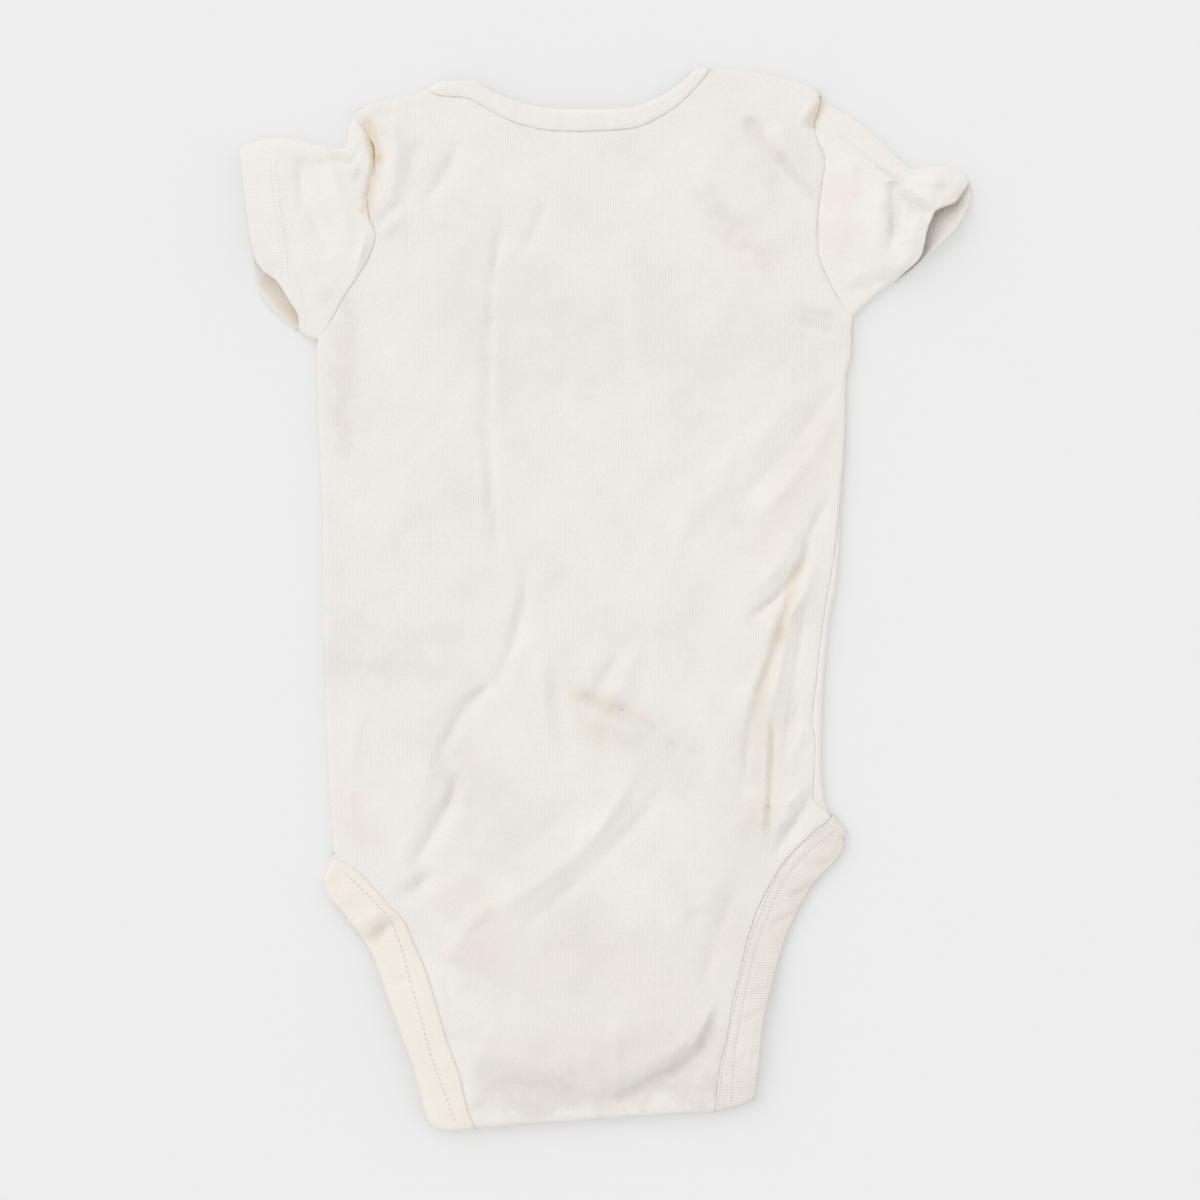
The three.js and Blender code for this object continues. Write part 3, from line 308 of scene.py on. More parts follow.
# Creases that run into the seams
SEAM_FOLDS = rows(Fold, [
    (79.2, -73, 72.8, -82.8, 64.4, -97.3, -2.2, 2.4, 0.3),
    (75.8, -70.7, 70.5, -78.3, 65.2, -89.7, 1.33, 2.6),
    (74.3, 110.2, 84.2, 106.4, 94, 104.1, -2.34, 2.6),
    (72.8, 102.6, 83.4, 99.6, 93.3, 97.3, 1, 3),
    (-77.7, 150.5, -83, 146.3, -87.6, 141, -2.61, 2.2, 0.3),
    (-76.2, 145.9, -80.8, 142.1, -86.1, 137.6, 1.33, 2.4),
    (-90.6, 181.6, -85.7, 168, -91.4, 152, -3.68, 2, 0.2),
    (-89.9, 157.3, -92.5, 149, -91.4, 141.4, -2.48, 1.9, 0.2),
    (84.5, 190, 81.1, 184.7, 77.3, 179.4, -3.41, 1.9, 0.2),
    (79.6, 190.8, 77, 185.4, 74.3, 180.1, 1.33, 2.6),
])

# Creases of the sleeves
LEFT_SLEEVE_FOLDS = rows(Fold, [
    (-95.6, 180.9, -96, 171.8, -94.4, 160.4, 2.2, 3.2),
    (-90.6, 180.9, -86.8, 168, -91.8, 150.5, -2.61, 1.8),
    (-104.3, 170.2, -99, 168.7, -93.7, 166.4, -3.41, 2.4, 0.2),
    (-102, 167.2, -98.2, 164.2, -96, 158.1, 1.33, 3),
    (-90.6, 141.4, -91.8, 133, -95.2, 123.9, 1.33, 1.8),
    (-116.5, 170.2, -112.7, 150.5, -102.8, 130.7, -1.48, 4, 0.2),
    (-105.8, 168.7, -100.5, 153.5, -96.7, 134.5, 1.33, 4.4),
    (-115.7, 163.4, -115, 155.8, -115.7, 144.4, -0.64, 3),
    (-115.7, 133, -111.2, 121.6, -104.3, 114, 1, 5),
    (-132.4, 134.5, -126.4, 126.2, -119.5, 116.3, -1, 3),
])
RIGHT_SLEEVE_FOLDS = rows(Fold, [
    (88.7, 159.6, 89.5, 144.4, 88.7, 128.4, 1, 7),
    (91.8, 168.7, 94, 161.1, 94, 152.8, 1, 3.6),
    (108.5, 158.1, 109.6, 147.1, 108.5, 130.7, -2.74, 3, 0.2),
    (105.5, 155.8, 103.9, 145.9, 103.9, 130, 0.82, 4),
    (115.3, 161.1, 126, 159.6, 136.6, 157.3, 2.74, 4.6),
    (114.6, 143.6, 116.8, 134.5, 110.8, 123.1, 1.78, 5),
    (113.8, 155, 118.4, 149, 126, 145.9, -2.07, 3.2),
    (118.4, 149.7, 122.2, 143.6, 122.2, 135.3, -1.33, 2.6),
    (84.2, 188.5, 80.8, 182.4, 78.8, 177.8, -2.07, 1.9),
    (93.3, 114, 100.9, 117.8, 109.2, 120.1, -1.17, 4),
    (91.8, 118.6, 97.8, 123.9, 106.2, 125.4, 0.82, 4),
])

# Plain creases of the hidden front
FRONT_FOLDS = rows(Fold, [
    (-40, 120, -30, 40, -45, -30, 0.5, 6),
    (30, 110, 44, 50, 38, -10, 0.6, 7, 0.2),
    (-60, -40, -30, -90, -44, -140, 0.5, 6),
    (60, -20, 30, -80, 36, -130, 0.6, 7),
    (0, 30, 10, -10, -6, -60, 0.4, 8),
])

# Broad waves of the laid cloth
WAVES = rows(Wave, [
    (4.1, 9.3, 0.28, 0.4), (11.7, -5.2, 0.22, 1.9), (-17.0, 13.0, 0.16, 4.1),
    (23.0, 19.0, 0.11, 2.2), (37.0, -27.0, 0.08, 5.3), (6.0, 44.0, 0.07, 3.3),
    (58.0, 21.0, 0.06, 0.9), (71.0, -33.0, 0.045, 2.7), (-49.0, 62.0, 0.04, 1.1),
])
WAVE_SWAY = (5.0, 23.0)  # how far the crests of the waves sway, and over which length
SWAY_SHEAR, SWAY_PHASE = 0.6, 1.3  # these keep the sway from looking regular


def slopes(at, to):
    """Slope at each row of a smooth curve that keeps between its rows."""
    step = np.diff(at)
    rise = np.diff(to) / step
    slope = np.zeros_like(to)
    slope[0], slope[-1] = rise[0], rise[-1]
    before, after = rise[:-1], rise[1:]
    one_way = before * after > 0
    near = 2 * step[1:] + step[:-1]
    far = step[1:] + 2 * step[:-1]
    inner = np.zeros(len(rise) - 1)
    inner[one_way] = (near + far)[one_way] / (
        near[one_way] / before[one_way] + far[one_way] / after[one_way]
    )
    slope[1:-1] = inner
    return slope


class Curve:
    """Smooth curve of one column of a table by another."""

    def __init__(self, table, key, value):
        self.at = np.array([getattr(row, key) for row in table], float)
        self.to = np.array([getattr(row, value) for row in table], float)
        self.slope = slopes(self.at, self.to)

    def __call__(self, where):
        where = np.clip(np.asarray(where, float), self.at[0], self.at[-1])
        i = np.clip(np.searchsorted(self.at, where) - 1, 0, len(self.at) - 2)
        span = self.at[i + 1] - self.at[i]
        t = (where - self.at[i]) / span
        value = self.to[i] * (1 + 2 * t) * (1 - t) ** 2 + self.to[i + 1] * t * t * (3 - 2 * t)
        return value + span * (self.slope[i] * t * (1 - t) ** 2 + self.slope[i + 1] * t * t * (t - 1))


class Path:
    """Smooth line through points, read at shares of its length."""

    def __init__(self, points):
        xy = np.array([(p.x, p.y) for p in points], float)
        steps = np.hypot(*np.diff(xy, axis=0).T)
        shares = np.concatenate([[0], np.cumsum(steps)]) / steps.sum()
        table = [Station(share, *p) for share, p in zip(shares, xy)]
        self.length = steps.sum()
        self.x = Curve(table, "share", "x")
        self.y = Curve(table, "share", "y")

    def __call__(self, share):
        return np.stack([self.x(share), self.y(share)], axis=-1)


left_edge = Curve(LEFT_EDGE, "y", "x")
right_edge = Curve(RIGHT_EDGE, "y", "x")
side_seam = Curve(SIDE_SEAM, "y", "x")
shoulder_fold = Curve(SHOULDER_FOLD, "x", "y")
crotch_fold = Curve(CROTCH_FOLD, "x", "y")
back_neck = Curve(BACK_NECK, "x", "y")
front_neck = Curve(FRONT_NECK, "x", "y")


def mix(a, b, share):
    """Value a share of the way from a to b."""
    return a + (b - a) * share


def smooth(value, low, high):
    """Soft step from 0 at low to 1 at high."""
    t = np.clip((value - low) / (high - low), 0, 1)
    return t * t * (3 - 2 * t)


def between(share, breaks, levels):
    """Level at a share, straight between breaks; each level may differ from point to point."""
    value = np.broadcast_to(levels[0], share.shape).astype(float)
    for low, high, a, b in zip(breaks, breaks[1:], levels, levels[1:]):
        inside = share >= low
        value = np.where(inside, mix(a, b, np.clip((share - low) / (high - low), 0, 1)), value)
    return value


FOLD_STEPS = 14  # straight pieces that stand for a crease's curve
CREST_ROUND, CREST_STEEP = 0.12, 1.9  # how rounded the crest of a crease is, how steep its sides
LEAN_SOFT = 0.4  # share of a crease's width over which its lean passes from side to side
WIDTH_SWAY, HEIGHT_SWAY = (0.25, 13), (0.3, 9)  # unevenness along a crease, and its turns
END_FADE = 0.6  # the smaller, the later a crease fades towards its ends


def fold_height(folds, x, y):
    """Height that ridges and troughs add at points; each fades out towards its ends."""
    total = np.zeros(np.shape(x))
    for fold in folds:
        t = np.linspace(0, 1, FOLD_STEPS + 1)
        bend_x = 2 * fold.x1 - (fold.x0 + fold.x2) / 2
        bend_y = 2 * fold.y1 - (fold.y0 + fold.y2) / 2
        line_x = (1 - t) ** 2 * fold.x0 + 2 * t * (1 - t) * bend_x + t * t * fold.x2
        line_y = (1 - t) ** 2 * fold.y0 + 2 * t * (1 - t) * bend_y + t * t * fold.y2
        best = np.full(np.shape(x), np.inf)
        share = np.zeros(np.shape(x))
        side = np.zeros(np.shape(x))
        for i in range(FOLD_STEPS):
            run_x, run_y = line_x[i + 1] - line_x[i], line_y[i + 1] - line_y[i]
            length = np.hypot(run_x, run_y)
            away_x, away_y = x - line_x[i], y - line_y[i]
            part = np.clip((away_x * run_x + away_y * run_y) / length**2, 0, 1)
            off_x, off_y = away_x - part * run_x, away_y - part * run_y
            distance = np.hypot(off_x, off_y)
            closer = distance < best
            best = np.where(closer, distance, best)
            share = np.where(closer, (i + part) / FOLD_STEPS, share)
            side = np.where(closer, (run_x * off_y - run_y * off_x) / length, side)
        width = fold.width * (1 + fold.lean * np.tanh(side / (LEAN_SOFT * fold.width)))
        width = width * (1 + WIDTH_SWAY[0] * np.sin(WIDTH_SWAY[1] * share + fold.x0))
        fade = np.sin(np.pi * np.clip(share, 0, 1)) ** END_FADE
        fade = fade * (1 + HEIGHT_SWAY[0] * np.sin(HEIGHT_SWAY[1] * share + fold.y0))
        crest = np.sqrt((best / width) ** 2 + CREST_ROUND) - np.sqrt(CREST_ROUND)
        total += fold.height * fade * np.exp(-CREST_STEEP * crest)
    return total


def broad_waves(x, y):
    """Broad unevenness of laid cloth."""
    sway, length = WAVE_SWAY
    swayed_x = x + sway * np.sin(y / length) + sway * np.sin(x / length + SWAY_SHEAR * y / length)
    swayed_y = y + sway * np.sin(x / length + SWAY_PHASE) + sway * np.sin((y - x) / length)
    total = np.zeros(np.shape(x))
    for wave in WAVES:
        turns = (swayed_x * wave.per_x + swayed_y * wave.per_y) * MM
        total += wave.height * np.sin(2 * np.pi * turns + wave.phase)
    return total


def at_least(height, floor):
    """Height kept above a floor, with a soft bend where it meets it."""
    softness = 0.3
    over = height - floor
    return floor + 0.5 * (over + np.sqrt(over * over + softness))


LOFT, LOFT_REACH = 1.5, 32  # how far the top layer rises above its edges, over which distance
FOLD_FADE, WAVE_FADE = 9, 20  # the back's creases and waves die out over these distances from its edges


def top_height(x, y):
    """Height of the upper face of the back where it lies."""
    inward = np.minimum(x - left_edge(y), right_edge(y) - x) - FOLD
    from_top = np.minimum(shoulder_fold(x), back_neck(x)) - FOLD - y
    from_crotch = y - crotch_fold(x) - FOLD
    nearest = np.maximum(0, np.minimum(np.minimum(inward, from_top), from_crotch))
    over_flaps = smooth(-y, *OVER_FLAPS)
    rise = (CROTCH_TOP - EDGE_TOP) * over_flaps + LOFT * smooth(nearest, 0, LOFT_REACH)
    creases = fold_height(BODY_FOLDS, x, y) * smooth(nearest, 0, FOLD_FADE)
    creases = creases + broad_waves(x, y) * smooth(nearest, 0, WAVE_FADE)
    creases = creases + fold_height(SEAM_FOLDS, x, y)
    clear = CLEAR_LEAST + CLEAR_LAPS * smooth(y, *OVER_LAPS) + CLEAR_FLAPS * over_flaps
    return at_least(EDGE_TOP + rise + creases, clear)


def front_height(y):
    """Height of the lower face of the front, which lies over the laps and the snap caps."""
    return LAP_LIFT * smooth(y, *FRONT_OVER_LAPS) + FRONT_FLAP_LIFT * smooth(-y, *FRONT_OVER_CAPS)


def wrap_back(x, y, rise):
    """Place of a point of the back's cloth: x and y before it is folded, rise outward from its face."""
    shoulder = shoulder_fold(x) - FOLD
    crotch = crotch_fold(x) + FOLD
    past_top = np.maximum(y - shoulder, 0)
    past_low = np.maximum(crotch - y, 0)
    turn_top = np.minimum(past_top / FOLD, np.pi)
    turn_low = np.minimum(past_low / FOLD, np.pi)
    radius = FOLD + rise
    height = top_height(x, y) + rise
    over_y = shoulder + radius * np.sin(turn_top) - np.maximum(past_top - np.pi * FOLD, 0)
    over_z = FOLD + radius * np.cos(turn_top)
    low_y = crotch - radius * np.sin(turn_low) + np.maximum(past_low - np.pi * FOLD, 0)
    low_z = FLAP_LIFT + FOLD + radius * np.cos(turn_low)
    laid_y = np.where(past_top > 0, over_y, np.where(past_low > 0, low_y, y))
    laid_z = np.where(past_top > 0, over_z, np.where(past_low > 0, low_z, height))
    return np.stack([x, laid_y, np.maximum(laid_z, 0)], axis=-1)


NECK_SEARCH, HALVINGS = (60.0, 238.0), 26  # heights between which a column meets a neck line


def reach_neck(column, neck):
    """Height along each column at which it meets a neck line."""
    low, high = (np.full(np.shape(column(0.0)), level) for level in NECK_SEARCH)
    for _ in range(HALVINGS):
        middle = (low + high) / 2
        below = neck(column(middle)) > middle
        low = np.where(below, middle, low)
        high = np.where(below, high, middle)
    return low


TUCK = 0.5  # how far the edges of sewn pieces reach into each other
SEAM_SOFT = 3.0  # length over which an edge passes from sewn on to rolled under


def side_share(y, hip, armpit):
    """1 where a side is a rolled fold, 0 along the leg opening and the armhole."""
    return smooth(y, hip, hip + SEAM_SOFT) * smooth(-y, -armpit, -armpit + SEAM_SOFT)


def front_share(y):
    """1 where the front comes round the right side, which is a little further than the seam does."""
    return side_share(y, HIP_RIGHT - SEAM_SOFT, ARMPIT_RIGHT + SEAM_SOFT)


SEAM_INSIDE = 0.4  # least distance of the side seam from the outline
SEAM_BEND = 7.0  # length over which it swings to the outline at the hip and at the armpit
SIDE_TUCK = 0.6  # how far the front reaches under the back at the side seam
FRONT_CUT = 1.6  # share of the leg inset that the front takes, so that it clears its binding


def back_right(y):
    """Right edge of the back: the side seam on top, and the sewn edges below and above it."""
    on_top = np.minimum(side_seam(y), right_edge(y) - SEAM_INSIDE)
    past_hip = smooth(y, HIP_RIGHT, HIP_RIGHT + SEAM_BEND)
    below_armpit = smooth(-y, -ARMPIT_RIGHT, SEAM_BEND - ARMPIT_RIGHT)
    return mix(right_edge(y), on_top, past_hip * below_armpit)


def round_drop(past):
    """How far the cloth has fallen where it is this far past the start of a rolled edge."""
    past = np.clip(past, 0, FOLD)
    return FOLD - np.sqrt(FOLD * FOLD - past * past)


def leg_inset(y, hip):
    """How much deeper the front leg opening is cut."""
    return FRONT_LEG_INSET * smooth(hip - y, 0, INSET_REACH)


def front_left(y):
    """Left edge of the front, short of the left fold."""
    sewn = left_edge(y) + FRONT_CUT * leg_inset(y, HIP_LEFT)
    return mix(sewn, left_edge(y) + FOLD, side_share(y, HIP_LEFT, ARMPIT_LEFT))


def front_right(y):
    """Right edge of the front where it is sewn."""
    return right_edge(y) - FRONT_CUT * leg_inset(y, HIP_RIGHT)


DITCH_WIDTH = 1.2


def ditch(distance, depth, width=DITCH_WIDTH):
    """Dip of cloth towards a seam line."""
    return -depth * np.exp(-((distance / width) ** 2))


TURN_SHARE = 0.035  # share of the back's columns that go round the left fold
CROWDING = 0.4  # how much closer the columns lie near the edges
BACK_BREAKS = (0, 0.04, 0.06, 0.91, 0.93, 1)  # rows of its flap, crotch fold, body, shoulder fold, lap
LEFT_FOLD = (-60, 90)  # angles of the left fold, from the underside to the top
ROUND_PATTERN = 1.4  # pattern that goes round the left fold, in radii more than lies flat
SIDE_DITCH, RIGHT_DITCH, NECK_DITCH = 0.35, 0.3, 0.35  # depths of the cloth's dips at its seams
NECK_DITCH_WIDTH = 1.5
DITCH_FADE = (0, 60)  # the left side's dip is there only above these heights
NO_SEAM = 99  # distance that keeps the rolled side free of a dip


def place_back(u, v):
    """Back panel: it turns under at the shoulders, the crotch and the left side."""
    wrap = np.clip(u / TURN_SHARE, 0, 1)
    across = np.clip((u - TURN_SHARE) / (1 - TURN_SHARE), 0, 1)
    across = across - CROWDING * np.sin(2 * np.pi * across) / (2 * np.pi)

    def column(y):
        return mix(left_edge(y) + FOLD, back_right(y), across)

    top = reach_neck(column, back_neck)
    crotch = crotch_fold(column(NEAR_CROTCH)) + FOLD
    shoulder = np.minimum(shoulder_fold(column(NEAR_SHOULDER)) - FOLD, top - LAP_LEAST)
    turned = np.minimum(shoulder + np.pi * FOLD, top - LAP_END)
    flap = crotch - np.pi * FOLD
    y = between(v, BACK_BREAKS, (flap - FLAP_LENGTH, flap, crotch, shoulder, turned, top))
    rolled = side_share(y, HIP_LEFT, ARMPIT_LEFT)
    angle = np.radians(mix(*LEFT_FOLD, wrap))
    sewn_x = mix(left_edge(y), left_edge(y) + FOLD, wrap)
    x = np.where(wrap < 1, sewn_x, column(y))
    points = wrap_back(x, y, 0.0)
    round_x = left_edge(y) + FOLD - FOLD * np.cos(angle)
    round_z = FOLD + FOLD * np.sin(angle)
    turning = (wrap < 1) * rolled
    points[:, 0] = mix(points[:, 0], round_x, turning)
    points[:, 2] = mix(points[:, 2], round_z, turning)
    on_top = smooth(points[:, 2], *ON_TOP)
    rolled_right = side_share(y, HIP_RIGHT, ARMPIT_RIGHT)
    points[:, 2] -= on_top * rolled_right * round_drop(x - right_edge(y) + FOLD)
    seam_left = (x - left_edge(y)) + NO_SEAM * rolled
    points[:, 2] += on_top * ditch(seam_left, SIDE_DITCH * smooth(y, *DITCH_FADE))
    points[:, 2] += on_top * ditch(np.abs(back_right(y) - x), RIGHT_DITCH)
    points[:, 2] += on_top * ditch(np.abs(top - y), NECK_DITCH, NECK_DITCH_WIDTH)
    around = (1 - wrap) * rolled * FOLD * ROUND_PATTERN
    return points, np.stack([x - around, y], axis=-1)


# Shares of the front's columns that lie on top and that end with its fold
FRONT_TOP_SHARE, FRONT_TURN_SHARE = 0.07, 0.12
FRONT_BREAKS, FRONT_MIDDLE = (0, 0.66, 1), 60  # its rows lie level up to this height
TOP_POINTS, NECK_SOFT = 169, 4  # points along its top, and how many to each side even it out
UNDER_DITCH = 0.4  # depth of its dip at the side seam
FOLD_ENDS, FOLD_SIDES = 0.05, 0.08  # its creases end at these products of the shares from both edges


def front_across(u):
    """Share of the way from the right fold to the left side."""
    return np.clip((u - FRONT_TURN_SHARE) / (1 - FRONT_TURN_SHARE), 0, 1)


def front_column(y, u):
    """Sideways place of the front's columns at a height, on the layer underneath."""
    right = mix(front_right(y) - FOLD, right_edge(y) - FOLD, front_share(y))
    return mix(right, front_left(y), front_across(u))


def front_top(u):
    """Upper end of the front's columns, its steps at the ends of the neck made gentle."""
    shares = np.linspace(0, 1, TOP_POINTS)
    high = reach_neck(lambda y: front_column(y, shares), front_neck)
    window = np.ones(2 * NECK_SOFT + 1) / (2 * NECK_SOFT + 1)
    return np.interp(u, shares, np.convolve(np.pad(high, NECK_SOFT, mode="edge"), window, mode="valid"))


def place_front(u, v):
    """Front panel: it lies underneath and comes round the right side to the seam on top."""
    low = crotch_fold(front_column(NEAR_FRONT_END, u)) + FRONT_FLAP_START
    y = between(v, FRONT_BREAKS, (low, FRONT_MIDDLE, front_top(u)))
    rolled = front_share(y)
    across = front_across(u)
    x = front_column(y, u)
    edge = right_edge(y)
    seam = back_right(y) - SIDE_TUCK
    on_top = np.clip(u / FRONT_TOP_SHARE, 0, 1)
    turn = np.clip((u - FRONT_TOP_SHARE) / (FRONT_TURN_SHARE - FRONT_TOP_SHARE), 0, 1)
    past = np.clip((seam - edge + FOLD) / FOLD, 0, 1)
    angle = mix(np.arccos(past), -np.pi / 2, turn)
    top_x = mix(seam, np.maximum(edge - FOLD, seam), on_top)
    round_x = np.where(turn > 0, edge - FOLD + FOLD * np.cos(angle), top_x)
    top_z = top_height(top_x, y) - round_drop(top_x - edge + FOLD)
    round_z = np.where(turn > 0, FOLD + FOLD * np.sin(angle), top_z)
    round_z = round_z + ditch(top_x - seam, UNDER_DITCH) * (1 - turn)
    flat_x = mix(front_right(y), front_right(y) - FOLD, np.clip(u / FRONT_TURN_SHARE, 0, 1))
    wrapped = u < FRONT_TURN_SHARE
    folds = fold_height(FRONT_FOLDS, x, y) * smooth(v * (1 - v), 0, FOLD_ENDS)
    lower = front_height(y) + np.maximum(folds, 0) * smooth(across * (1 - across), 0, FOLD_SIDES)
    points = np.stack([x, y, lower], axis=-1)
    points[:, 0] = np.where(wrapped, mix(flat_x, round_x, rolled), points[:, 0])
    points[:, 2] = np.where(wrapped, mix(front_height(y), round_z, rolled), points[:, 2])
    unrolled = np.where(wrapped, edge + FOLD + (1 - on_top) * (edge - FOLD - seam), edge - x)
    return points, np.stack([np.where(wrapped, -unrolled, x - edge), y], axis=-1)


# How far the back neck binding and the leg bindings lie above the cloth that they edge
NECK_STEP, LEFT_STEP, RIGHT_STEP = 0.35, 0.5, -0.2
HIP_ROUND, HIP_NARROW = 6.0, 0.72  # length of a leg binding's rounded hip end, share of width left
HIP_END = 3  # length of its end by which the way it turns is judged
BAND_ROLL, ROLL_START = 0.9, 0.62  # depth of a binding's rounded free edge, share at which it starts
SEAM_DIP, DIP_END = 0.35, 0.22  # depth of its dip at the seam, share at which that ends
NECK_SHOWN, FRONT_NECK_SHOWN = 8, 7.5  # widths of the neck bindings in their patterns
NECK_UNEVEN, NECK_WAVES = 0.12, (0.8, 0.31)  # unevenness of the back neck binding, in turns per mm
PUCKER_WAVE, PUCKER_SWAY, SWAY_WAVE = 0.55, 1.3, 0.13  # the same of the leg bindings, and its sway
LEFT_PUFF, RIGHT_PUFF = 0.1, 0.2
AHEAD = 0.02  # share of a line over which its direction is taken

# Puckers of the leg bindings
BAND_FOLDS = rows(Fold, [
    (-93.5, -130.5, -86.5, -127, -81, -122.5, -1.9, 2.4, 0.5),
    (-95.5, -124.5, -89, -121, -84, -117.5, 0.8, 2.6), (-96, -112, -99, -114, -102, -115, 0.5, 3),
    (-79, -146, -76, -144, -72, -143, -0.6, 2), (80, -106.5, 75, -111, 70.5, -111.5, -1.3, 2, 0.3),
    (71.5, -118.5, 67, -121.5, 63.5, -122.5, -1.1, 2, 0.3), (89, -97, 84, -100, 80, -100, -0.7, 2),
    (61.5, -146.5, 58, -148.5, 55, -148.5, -0.8, 2), (60, -155, 56.5, -157.5, 53, -156.5, -1.1, 2, 0.3),
    (59.5, -170.5, 56, -173, 52, -172, -1, 2.2, 0.2),
])


class Strip:
    """Band of cloth between two lines of points, read at lengths along its middle."""

    def __init__(self, seam, free):
        middle = (seam + free) / 2
        steps = np.linalg.norm(np.diff(middle, axis=0), axis=1)
        self.at = np.concatenate([[0], np.cumsum(steps)])
        self.length = self.at[-1]
        self.sides = (seam, free)

    def __call__(self, at):
        return [
            np.stack([np.interp(at, self.at, side[:, k]) for k in (0, 1)], axis=-1)
            for side in self.sides
        ]


STRIP_POINTS = 400  # at which the lines of a binding are read


def neck_strip():
    """Strip of the back neck binding."""
    at = np.linspace(0, len(BACK_NECK) - 1, STRIP_POINTS)
    sides = []
    for columns in (("x", "y"), ("edge_x", "edge_y")):
        lines = [
            Curve([LineRow(i, getattr(row, name)) for i, row in enumerate(BACK_NECK)], "x", "y")(at)
            for name in columns
        ]
        sides.append(np.stack(lines, axis=-1))
    return Strip(*sides)


def leg_strip(table, edge_x):
    """Strip of a leg binding from the crotch flap to the hip."""
    at = np.linspace(0, len(table) - 1, STRIP_POINTS)
    y, free_x, free_y = (
        Curve([LineRow(i, getattr(row, name)) for i, row in enumerate(table)], "x", "y")(at)
        for name in ("y", "edge_x", "edge_y")
    )
    return Strip(np.stack([edge_x(y), y], axis=-1), np.stack([free_x, free_y], axis=-1))


def across_band(seam, edge, share, gap):
    """Point at a share of the way from a seam, less its gap, to the free edge."""
    run = edge - seam
    start = seam + run * (gap / np.linalg.norm(run, axis=-1, keepdims=True))
    return mix(start, edge, share[:, None])


def roll_over(share):
    """Rounded free edge of a binding, and its dip at the seam."""
    return -BAND_ROLL * smooth(share, ROLL_START, 1) ** 2 - SEAM_DIP * smooth(-share, -DIP_END, 0)


def place_back_neck(u, v):
    """Binding of the back neck: it goes under with the shoulder laps."""
    strip = neck_strip()
    at = v * strip.length
    seam, edge = strip(at)
    share = 1 - u
    point = across_band(seam, edge, share, -TUCK)
    uneven = NECK_UNEVEN * np.sin(at * NECK_WAVES[0]) * np.sin(at * NECK_WAVES[1] + 1)
    placed = wrap_back(point[:, 0], point[:, 1], roll_over(share) + NECK_STEP + uneven)
    return placed, np.stack([u * NECK_SHOWN, at], axis=-1)


def place_front_neck(u, v):
    """Binding of the front neck between the shoulder points."""
    first, last = SHOULDER_POINTS
    inside = [row for row in FRONT_NECK if first < row.x < last]
    ends = [LineRow(x, float(front_neck(x))) for x in (first, last)]
    path = Path([ends[0], *inside, ends[1]])
    seam = path(v)
    tangent = path(np.minimum(v + AHEAD, 1)) - path(np.maximum(v - AHEAD, 0))
    away = np.stack([-tangent[:, 1], tangent[:, 0]], axis=-1)
    away = away / np.linalg.norm(away, axis=-1, keepdims=True)
    point = across_band(seam, seam + NECK_BAND * away, u, 4 * GAP)
    placed = np.stack([point[:, 0], point[:, 1], front_height(point[:, 1])], axis=-1)
    return placed, np.stack([u * FRONT_NECK_SHOWN, v * path.length], axis=-1)


BAND_BREAKS = (0, 0.5, 0.54, 1)  # rows along the back leg opening, round the hip and along the front


def place_leg(table, edge_x, hip, inward, puff, step):
    """Leg binding: along the back leg opening, round the hip and back along the front one."""
    strip = leg_strip(table, edge_x)
    last = strip.length
    flap_end = float(crotch_fold(edge_x(NEAR_FLAP_END))) + FRONT_FLAP_START
    front_end = np.interp(flap_end, strip.sides[0][:, 1], strip.at)
    corner = strip(np.array([last - HIP_END, last]))[0]
    tangent = (corner[1] - corner[0]) / np.linalg.norm(corner[1] - corner[0])

    def place(u, v):
        reach = between(v, BAND_BREAKS, (0, last, last, front_end))
        angle = between(v, BAND_BREAKS, (0, 0, np.pi, np.pi))
        seam, edge = strip(reach)
        share = 1 - u if inward > 0 else u
        from_end = np.clip((last - reach + FOLD * (1 - np.sin(angle))) / HIP_ROUND, 0, 1)
        rounded = mix(HIP_NARROW, 1, np.sqrt(1 - (1 - from_end) ** 2))
        point = across_band(seam, edge, share * rounded, -TUCK)
        sway = PUCKER_SWAY * np.sin(reach * SWAY_WAVE)
        pucker = puff * np.sin(reach * PUCKER_WAVE + sway) * np.sin(np.pi * share)
        pucker = pucker + fold_height(BAND_FOLDS, point[:, 0], point[:, 1])
        rise = roll_over(share) + pucker + step + stitch_groove(share, inward)
        upper = wrap_back(point[:, 0], point[:, 1], rise)
        out = FOLD * np.sin(angle)
        round_z = np.maximum(FOLD + (FOLD + rise) * np.cos(angle), 0)
        turning = np.column_stack([point + tangent * out[:, None], round_z])
        shift = leg_inset(seam[:, 1], hip) * inward
        under = np.column_stack([point[:, 0] + shift, point[:, 1], front_height(point[:, 1])])
        turned = ((angle > 0) & (angle < np.pi))[:, None]
        placed = np.where(angle[:, None] == 0, upper, np.where(turned, turning, under))
        turn_length = last + np.pi * FOLD
        along = between(v, BAND_BREAKS, (0, last, turn_length, turn_length + last - front_end))
        return placed, np.stack([share * LEG_BAND_WIDTH, along], axis=-1)

    return place


LEG_BAND_WIDTH = 13.0  # in its pattern
STITCHES_APART = 3.8  # of the two rows of cover stitch on the right leg binding
GROOVE_DEPTH, GROOVE_WIDTH = 0.3, 0.7  # of the cloth along the outer row


def stitch_groove(share, inward):
    """Groove along the outer row of cover stitch, which only the right binding shows."""
    if inward > 0:
        return 0.0
    return ditch(share * LEG_BAND_WIDTH - STITCHES_APART, GROOVE_DEPTH, GROOVE_WIDTH)


